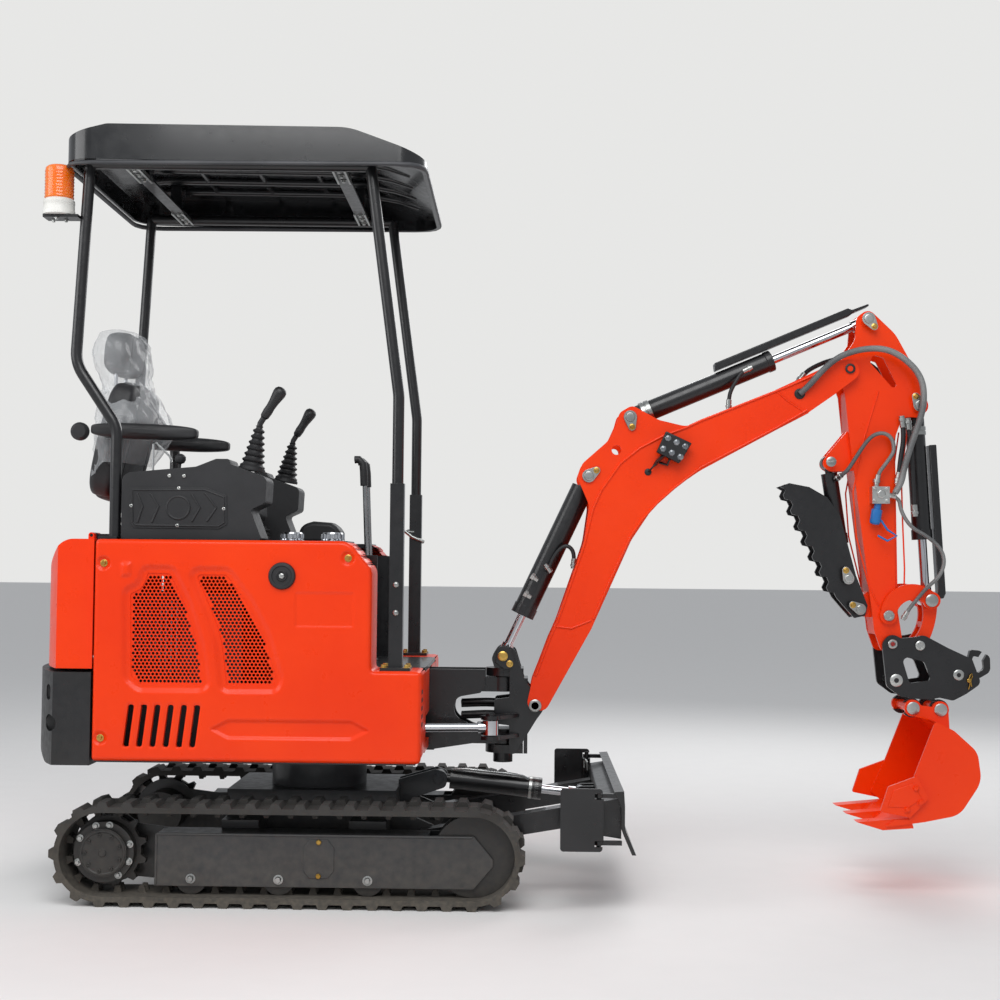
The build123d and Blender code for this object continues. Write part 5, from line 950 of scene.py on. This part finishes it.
for number, (y, z) in enumerate(((-24, 560), (-8, 548), (9, 562), (25, 549), (-17, 520), (2, 510),
                                 (19, 522))):
    route = [(452, y * 0.7, z), (490, y * 0.9, z + 2), (540, y * 1.2, z + 4), (590, y * 1.2, z),
             (625, y * 0.9, z - 3), (648, y * 0.7, z - 4)]
    hose("nose_hose_%d" % (number + 1), hose_rubber, 13, route, 0, "house", "swing_post",
         ends=False)


# The boom: a box of welded orange plate. Weld beads run along its corners, lock plates hold its pins,
# and a square work lamp with six lenses stands on a black bracket at the camera side.
paint(orange_paint, "boom")
BOOM_SIDE, ARM_SIDE = 84, 58
CHORDS = (
    [(891, 1237), (951, 1323), (1012, 1372), (1084, 1410), (1158, 1438), (1204, 1460), (1296, 1497),
     (1481, 1572), (1600, 1624)],
    [(688, 650), (730, 764), (756, 822), (800, 950), (838, 1062), (852, 1122), (866, 1180), (891, 1237)],
    [(868, 830), (925, 962), (986, 1095), (1021, 1147), (1067, 1198), (1120, 1246), (1204, 1312),
     (1335, 1382), (1443, 1440),
     (1540, 1497)],
)
beads = []
for chord in CHORDS:
    for side in (-1, 1):
        beads.append(bead([(x, side * (BOOM_SIDE + 0.4), z) for x, z in chord], 4.2, 8))
for seam in ([(744, 806), (800, 800), (862, 826)], [(1446, 1553), (1480, 1524), (1531, 1491)]):
    for side in (-1, 1):
        beads.append(bead([(x, side * (BOOM_SIDE + 0.2), z) for x, z in seam], 3.4, 8))
joined("boom_welds", "boom", orange_paint, beads, smooth=80)


def lock_plate(name, body, pin, bolt, y, pin_radius=15, ring=21):
    """Drop-shaped zinc plate that keeps a pin from turning, round the pin's head, with one yellow bolt."""
    run = Vector((bolt[0] - pin[0], bolt[1] - pin[1]))
    angle = math.atan2(run.y, run.x)
    corners = []
    for centre, radius, start, sweep in ((pin, ring, angle + 1.35, 3.58), (bolt, 12, angle - 1.35, 2.7)):
        for i in range(13):
            turn = start + sweep * i / 12
            corners.append((centre[0] + radius * math.cos(turn), centre[1] + radius * math.sin(turn)))
    side = -1 if y < 0 else 1
    plate = slab(corners, min(y, y + side * 4), max(y, y + side * 4))
    head = turned((pin[0], y + side * 2, pin[1]), (0, side, 0),
                  [(pin_radius, 0), (pin_radius, 5), (pin_radius - 2, 6.5), (4, 6.5)], 32)
    joined(name, body, zinc, [plate, head], bevel=1)
    joined(name + "_bolt", body, brass, hex_bolt((bolt[0], y + side * 4, bolt[1]), (0, side, 0), 11))


def bolt_at(pin, direction, distance=32):
    """Where a lock plate's bolt stands, by its direction from the pin in degrees."""
    turn = math.radians(direction)
    return (pin[0] + distance * math.cos(turn), pin[1] + distance * math.sin(turn))


BOOM_CYLINDER_BASE, ARM_CYLINDER_BASE, ARM_CYLINDER_EYE = (851, 1282), (981, 1470), (1735, 1789)
for side in (-1, 1):
    label = "right" if side < 0 else "left"
    for name, pin, direction, distance in (("cylinder_base_lock_", BOOM_CYLINDER_BASE, 36, 30),
                                           ("arm_cylinder_lock_", ARM_CYLINDER_BASE, -80, 32)):
        lock_plate(name + label, "boom", pin, bolt_at(pin, direction, distance), side * (BOOM_SIDE + 3))
foot_ring = [turned((687, -86, 556), (0, -1, 0),
                    [(20, 0), (20, 3), (18, 4.5), (12, 4.5), (11, 2), (4, 2)], 36)]
joined("boom_foot_pin", "boom", zinc, mirrored(foot_ring))
arm_ring = [turned((1675, -86, 1629), (0, -1, 0),
                   [(16, 0), (16, 3), (13, 4), (10, 4), (9, 1.5), (4, 1.5)], 36)]
joined("arm_pivot_pin", "boom", black_casting, mirrored(arm_ring))
lamp_case = finish("lamp_case", (28, 29, 31), (20, 21, 23), (0.3, 0.45), relief=0.2)
lamp_glass = finish("lamp_glass", (150, 154, 158), (96, 101, 106), (0.05, 0.14), patch=40, relief=0.6,
                    grain=160, metal=0.4, coat=0.7)
LAMP = [(1091, 1423), (1172, 1385), (1133, 1321), (1061, 1357)]
middle = Vector((sum(x for x, z in LAMP) / 4, sum(z for x, z in LAMP) / 4))
case = [slab(LAMP, -128, -102)]
for share in (0.94, 0.78):
    case.append(slab([tuple(middle + (Vector(c) - middle) * share) for c in LAMP],
                     -102 if share > 0.9 else -96, -96 if share > 0.9 else -90))
joined("work_lamp", "boom", lamp_case, case, bevel=3)
across_lamp, down_lamp = (Vector(LAMP[1]) - Vector(LAMP[0])) / 3, (Vector(LAMP[3]) - Vector(LAMP[0])) / 2
eyes = []
for i in range(3):
    for k in range(2):
        spot = Vector(LAMP[0]) + across_lamp * (i + 0.5) + down_lamp * (k + 0.5)
        eyes.append(turned((spot.x, -128, spot.y), (0, -1, 0), [(11, 0), (11, 1.5), (8, 3.5), (2, 4.5)], 6))
joined("work_lamp_lenses", "boom", lamp_glass, eyes, smooth=70)
bracket = [bead([(1062, -88, 1322), (1066, -104, 1330), (1078, -110, 1342), (1096, -108, 1352)], 6,
                8, flat=2.4),
           bead([(1074, -86, 1326), (1098, -96, 1318), (1104, -108, 1336)], 4, 8)]
joined("work_lamp_bracket", "boom", black_paint, bracket)
hose("lamp_cable", hose_rubber, 6,
     [(1040, -86, 1297), (1044, -98, 1302), (1054, -106, 1314), (1070, -106, 1330), (1090, -104, 1346)],
     0, "boom", ends=False)
joined("lamp_grommet", "boom", soft_rubber,
       [turned((1038, -84, 1296), (0, -1, 0), [(11, 0), (11, 2), (8, 4.5), (4, 5)], 20)])
joined("hose_grommet", "boom", soft_rubber,
       [turned((1516, -84, 1548), (0, -1, 0), [(17, 0), (17, 3), (13, 6), (9, 6)], 24)])


# The boom cylinder and the arm cylinder: black barrels with chromed rods. Plated gland bands, port
# fittings and short hoses join them to the boom.
paint(black_paint, "boom_cylinder_barrel")
paint(chrome, "boom_cylinder_rod", "arm_cylinder_rod")


def on_line(base, tip, along, off, y=0.0):
    """Spot in mm along a cylinder from its base pin, and off its axis to the upper or outer side."""
    run = (Vector(tip) - Vector(base)).normalized()
    spot = Vector(base) + run * along + Vector((-run.y, run.x)) * off
    return Vector((spot.x, y, spot.y))


ARM_LINE = (ARM_CYLINDER_BASE, ARM_CYLINDER_EYE)
run = on_line(*ARM_LINE, 1, 0) - on_line(*ARM_LINE, 0, 0)
tube = [turned(on_line(*ARM_LINE, 20, 0), run,
               [(22, 0), (32, 14), (32, 458), (34.5, 460), (34.5, 478), (33, 480), (28, 480)], 48),
        turned((981, -22, 1470), (0, 1, 0), [(25, 0), (25, 44)], 32)]
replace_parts(joined("arm_cylinder_tube", "arm_cylinder_barrel", black_paint, tube, bevel=0.8),
            "arm_cylinder_barrel")
GUARD = ((315, 37), (322, 61), (786, 61), (796, 51), (852, 49), (852, 42), (792, 41), (786, 37))
guard = [slab([(p.x, p.z) for p in (on_line(*ARM_LINE, a, o) for a, o in GUARD)], -23, 23)]
joined("arm_rod_guard", "arm_cylinder_rod", black_paint, guard, bevel=3)
collar("arm_cylinder_band", "arm_cylinder_barrel", *ARM_LINE, 0.055, 36, 34)
ports = [turned((x, -30, z), (-0.6, 0, 0.4), [(9, 0), (9, 14), (12, 15), (12, 26), (8, 27)], 6)
         for x, z in ((672, 895), (694, 950))]
joined("boom_cylinder_ports", "boom_cylinder_barrel", zinc, ports)
hose("boom_cylinder_hose", hose_rubber, 13,
     [(715, 1001), (726, 981), (741, 1024), (768, 1058), (792, 1061), (810, 1034), (805, 988)],
     -50, "boom_cylinder_barrel", "boom")
hose("arm_cylinder_hose", hose_rubber, 13,
     [(1370, 1636), (1340, 1623), (1320, 1592), (1301, 1557), (1297, 1530), (1296, 1500)],
     -50, "arm_cylinder_barrel", "boom")


# The arm: an orange welded box that carries the hand valve, its blue dust cap on a strap, and the
# hoses that loop over the joint in their grey guards.
paint(orange_paint, "arm")
BUCKET_CYLINDER_BASE = (1896, 1516)
lock_plate("arm_top_lock", "arm", ARM_CYLINDER_EYE, bolt_at(ARM_CYLINDER_EYE, -55, 30), -79)
lock_plate("bucket_cylinder_lock", "arm", BUCKET_CYLINDER_BASE, bolt_at(BUCKET_CYLINDER_BASE, 117, 30), -79)
hose("arch_hose_grey", braid, 20,
     [(1516, -90, 1548), (1541, -100, 1570), (1583, -106, 1620), (1637, 1667), (1713, 1691), (1790, 1691),
      (1858, 1649), (1897, 1596), (1904, 1534), (1893, 1473), (1862, 1388), (1839, 1311), (1831, 1265),
      (1812, 1236)],
     -104, "boom", "arm", ends=False)
hose("arch_hose_black", hose_rubber, 15,
     [(1540, 92, 1606), (1560, 96, 1632), (1587, 1654), (1650, 1682), (1713, 1687), (1784, 1667),
      (1823, 94, 1620), (1840, 84, 1602), (1850, 70, 1580)],
     97, "boom", "arm")
hose("valve_hose", braid, 13, [(1640, -34, 1281), (1650, -56, 1290), (1668, -78, 1306), (1685, 1334),
                               (1719, 1388), (1746, 1419), (1780, 1428), (1807, 1411),
     (1815, 1373), (1803, 1350), (1780, 1319), (1763, 1296), (1758, 1262)], -84, "arm")
hose("coupler_hose", braid, 12,
     [(1790, 1230), (1829, 1225), (1834, 1180), (1865, 1129), (1916, 1102), (1961, 1063), (1973, 1018),
      (1955, 973), (1915, 939), (1882, 899), (1858, 870), (1840, 838)], -84, "arm")
hose("bucket_hose_front", hose_rubber, 15,
     [(1839, 1481), (1848, 1420), (1835, 1343), (1830, 1290), (1824, 1266)], -76, "arm")
hose("bucket_hose_back", hose_rubber, 15,
     [(1858, 1474), (1869, 1389), (1873, 1297), (1877, 1213), (1881, 1163)], -76, "arm")
valve = [brick((1742, -98, 1202), (1797, -58, 1256)),
         turned((1770, -98, 1232), (0, -1, 0), [(14, 0), (14, 6), (11, 8), (4, 8)], 6)]
for x, z in ((1750, 1210), (1789, 1210), (1750, 1248), (1789, 1248)):
    valve += hex_bolt((x, -98, z), (0, -1, 0), 8)
valve.append(turned((1758, -80, 1256), (0, 0, 1), [(9, 0), (9, 12), (12, 13), (12, 24), (9, 25)], 6))
valve.append(turned((1797, -80, 1228), (1, 0, 0), [(9, 0), (9, 10), (12, 11), (12, 22), (9, 23)], 6))
joined("hand_valve", "arm", zinc, valve, bevel=1.5)
blue_plastic = finish("blue_plastic", (28, 108, 178), (18, 92, 160), (0.3, 0.44), relief=0.2, grain=400)
dust_cap = [turned((1764, -80, 1203), (-0.17, 0, -1),
                   [(11, 0), (11, 18), (17, 20), (17, 60), (14, 66), (5, 68)], 24),
            bead([(1772, -84, 1150), (1791, -90, 1120), (1820, -92, 1101), (1791, -90, 1085),
                  (1762, -84, 1102)], 3.5, 8)]
joined("dust_cap", "arm", blue_plastic, dust_cap, smooth=60)
beads = []
for chord in ([(1770, 1560), (1716, 1380), (1690, 1240), (1700, 1100), (1740, 940), (1770, 880)],
              [(1862, 1440), (1842, 1300), (1846, 1150), (1852, 1000), (1850, 900)]):
    beads.append(bead([(x, -(ARM_SIDE + 0.4), z) for x, z in chord], 2.6, 8))
joined("arm_welds", "arm", orange_paint, mirrored(beads), smooth=80)


# The bucket and thumb cylinders: black barrels on chromed rods with plated gland bands.
paint(black_paint, "bucket_cylinder_barrel", "thumb_cylinder_barrel")
paint(chrome, "bucket_cylinder_rod", "thumb_cylinder_rod")
BUCKET_LINE = (BUCKET_CYLINDER_BASE, (1934, 899))
collar("bucket_cylinder_band", "bucket_cylinder_barrel", *BUCKET_LINE, 0.1, 33, 30)
GUARD = ((124, 36), (124, 60), (600, 60), (616, 52), (616, 36), (608, 30), (596, 36))
guard = [slab([(p.x, p.z) for p in (on_line(*BUCKET_LINE, a, o) for a, o in GUARD)], -21, 21)]
joined("bucket_rod_guard", "bucket_cylinder_rod", black_paint, guard, bevel=3)


# The thumb: one toothed black steel plate pair on the arm's front, held by locked pins.
paint(black_paint, "thumb")
for label, lock_pin, direction in (("upper", (1674, 965), 108), ("lower", (1711, 869), 151)):
    lock_plate("thumb_%s_lock" % label, "arm", lock_pin, bolt_at(lock_pin, direction, 27), -66, 13, 18)
pin = [turned((1620, -60, 1335), (0, -1, 0), [(16, 0), (16, 4), (13, 5.5), (5, 5.5)], 28),
       bead([(1604, -64, 1331), (1636, -64, 1339)], 2.5, 6)]
joined("thumb_cylinder_pin", "arm", zinc, pin)


# The rocker and the push link: curved orange plates between arm, bucket cylinder and coupler.
paint(orange_paint, "rocker_links", "push_link")
heads = [turned((1932, -79, 899), (0, -1, 0), [(20, 0), (20, 5), (17, 7), (6, 7)], 32),
         turned((1798, -79, 850), (0, -1, 0), [(17, 0), (17, 4), (15, 6), (9, 6), (8, 3)], 32)]
joined("rocker_pin_heads", "rocker_links", zinc, mirrored(heads))


# The quick coupler: black steel plates that hook over the bucket's two pins. Plated pin ends show,
# and a spring clip keeps the lock pin in.
paint(black_paint, "quick_coupler")
ends = [turned((1810, -77, 761), (0, -1, 0), [(15, 0), (15, 3), (13, 5), (9, 5), (8, 2)], 36),
        turned((1896, -77, 757), (0, -1, 0), [(15, 0), (15, 3), (12, 5), (9, 5), (8, 3)], 36),
        turned((1822, -74, 647), (0, -1, 0), [(20, 0), (20, 3), (17, 5), (8, 5), (7, 3)], 32),
        turned((2017, -74, 666), (0, -1, 0), [(17, 0), (17, 3), (14, 5), (7, 5), (6, 3)], 32)]
joined("coupler_pins", "bucket", zinc, mirrored(ends))
joined("coupler_grease", "bucket", grease,
       [turned((1810, -78, 761), (0, -1, 0), [(7, 0), (7, 2.5), (4, 4)], 20)])
clip = [bead([(2047, -78, 622), (2051, -82, 640), (2046, -84, 652), (2051, -82, 666), (2056, -80, 671),
              (2059, -78, 662),
              (2053, -80, 648), (2056, -82, 630)], 1.8, 8),
        turned((2049, -74, 649), (0, -1, 0), [(7, 0), (7, 6), (4, 8)], 16)]
joined("hairpin_clip", "bucket", brass, clip)


# The bucket: orange welded plate with three teeth and bolted cutters at both sides.
paint(orange_paint, "bucket")
CUTTER = [(1766, 333), (1853, 365), (1889, 296), (1831, 256), (1741, 260)]
core = Vector((sum(x for x, z in CUTTER) / 5, sum(z for x, z in CUTTER) / 5))
pressing = [slab([tuple(core + (Vector(c) - core) * 0.7) for c in CUTTER], -212.5, -209)]
joined("cutter_pressings", "bucket", orange_paint, mirrored(pressing), bevel=2.5)
heads = [s for x, z in ((1848, 330), (1862, 288), (1822, 266))
         for s in hex_bolt((x, -210, z), (0, -1, 0), 14)]
joined("cutter_bolts", "bucket", orange_paint, mirrored(heads))
ears = [turned((x, -92, z), (0, -1, 0), [(20, 0), (20, 3.5), (17, 5), (6, 5)], 32) for x,
        z in ((1870, 562), (1956, 558))]
joined("bucket_pin_ends", "bucket", zinc, mirrored(ears))
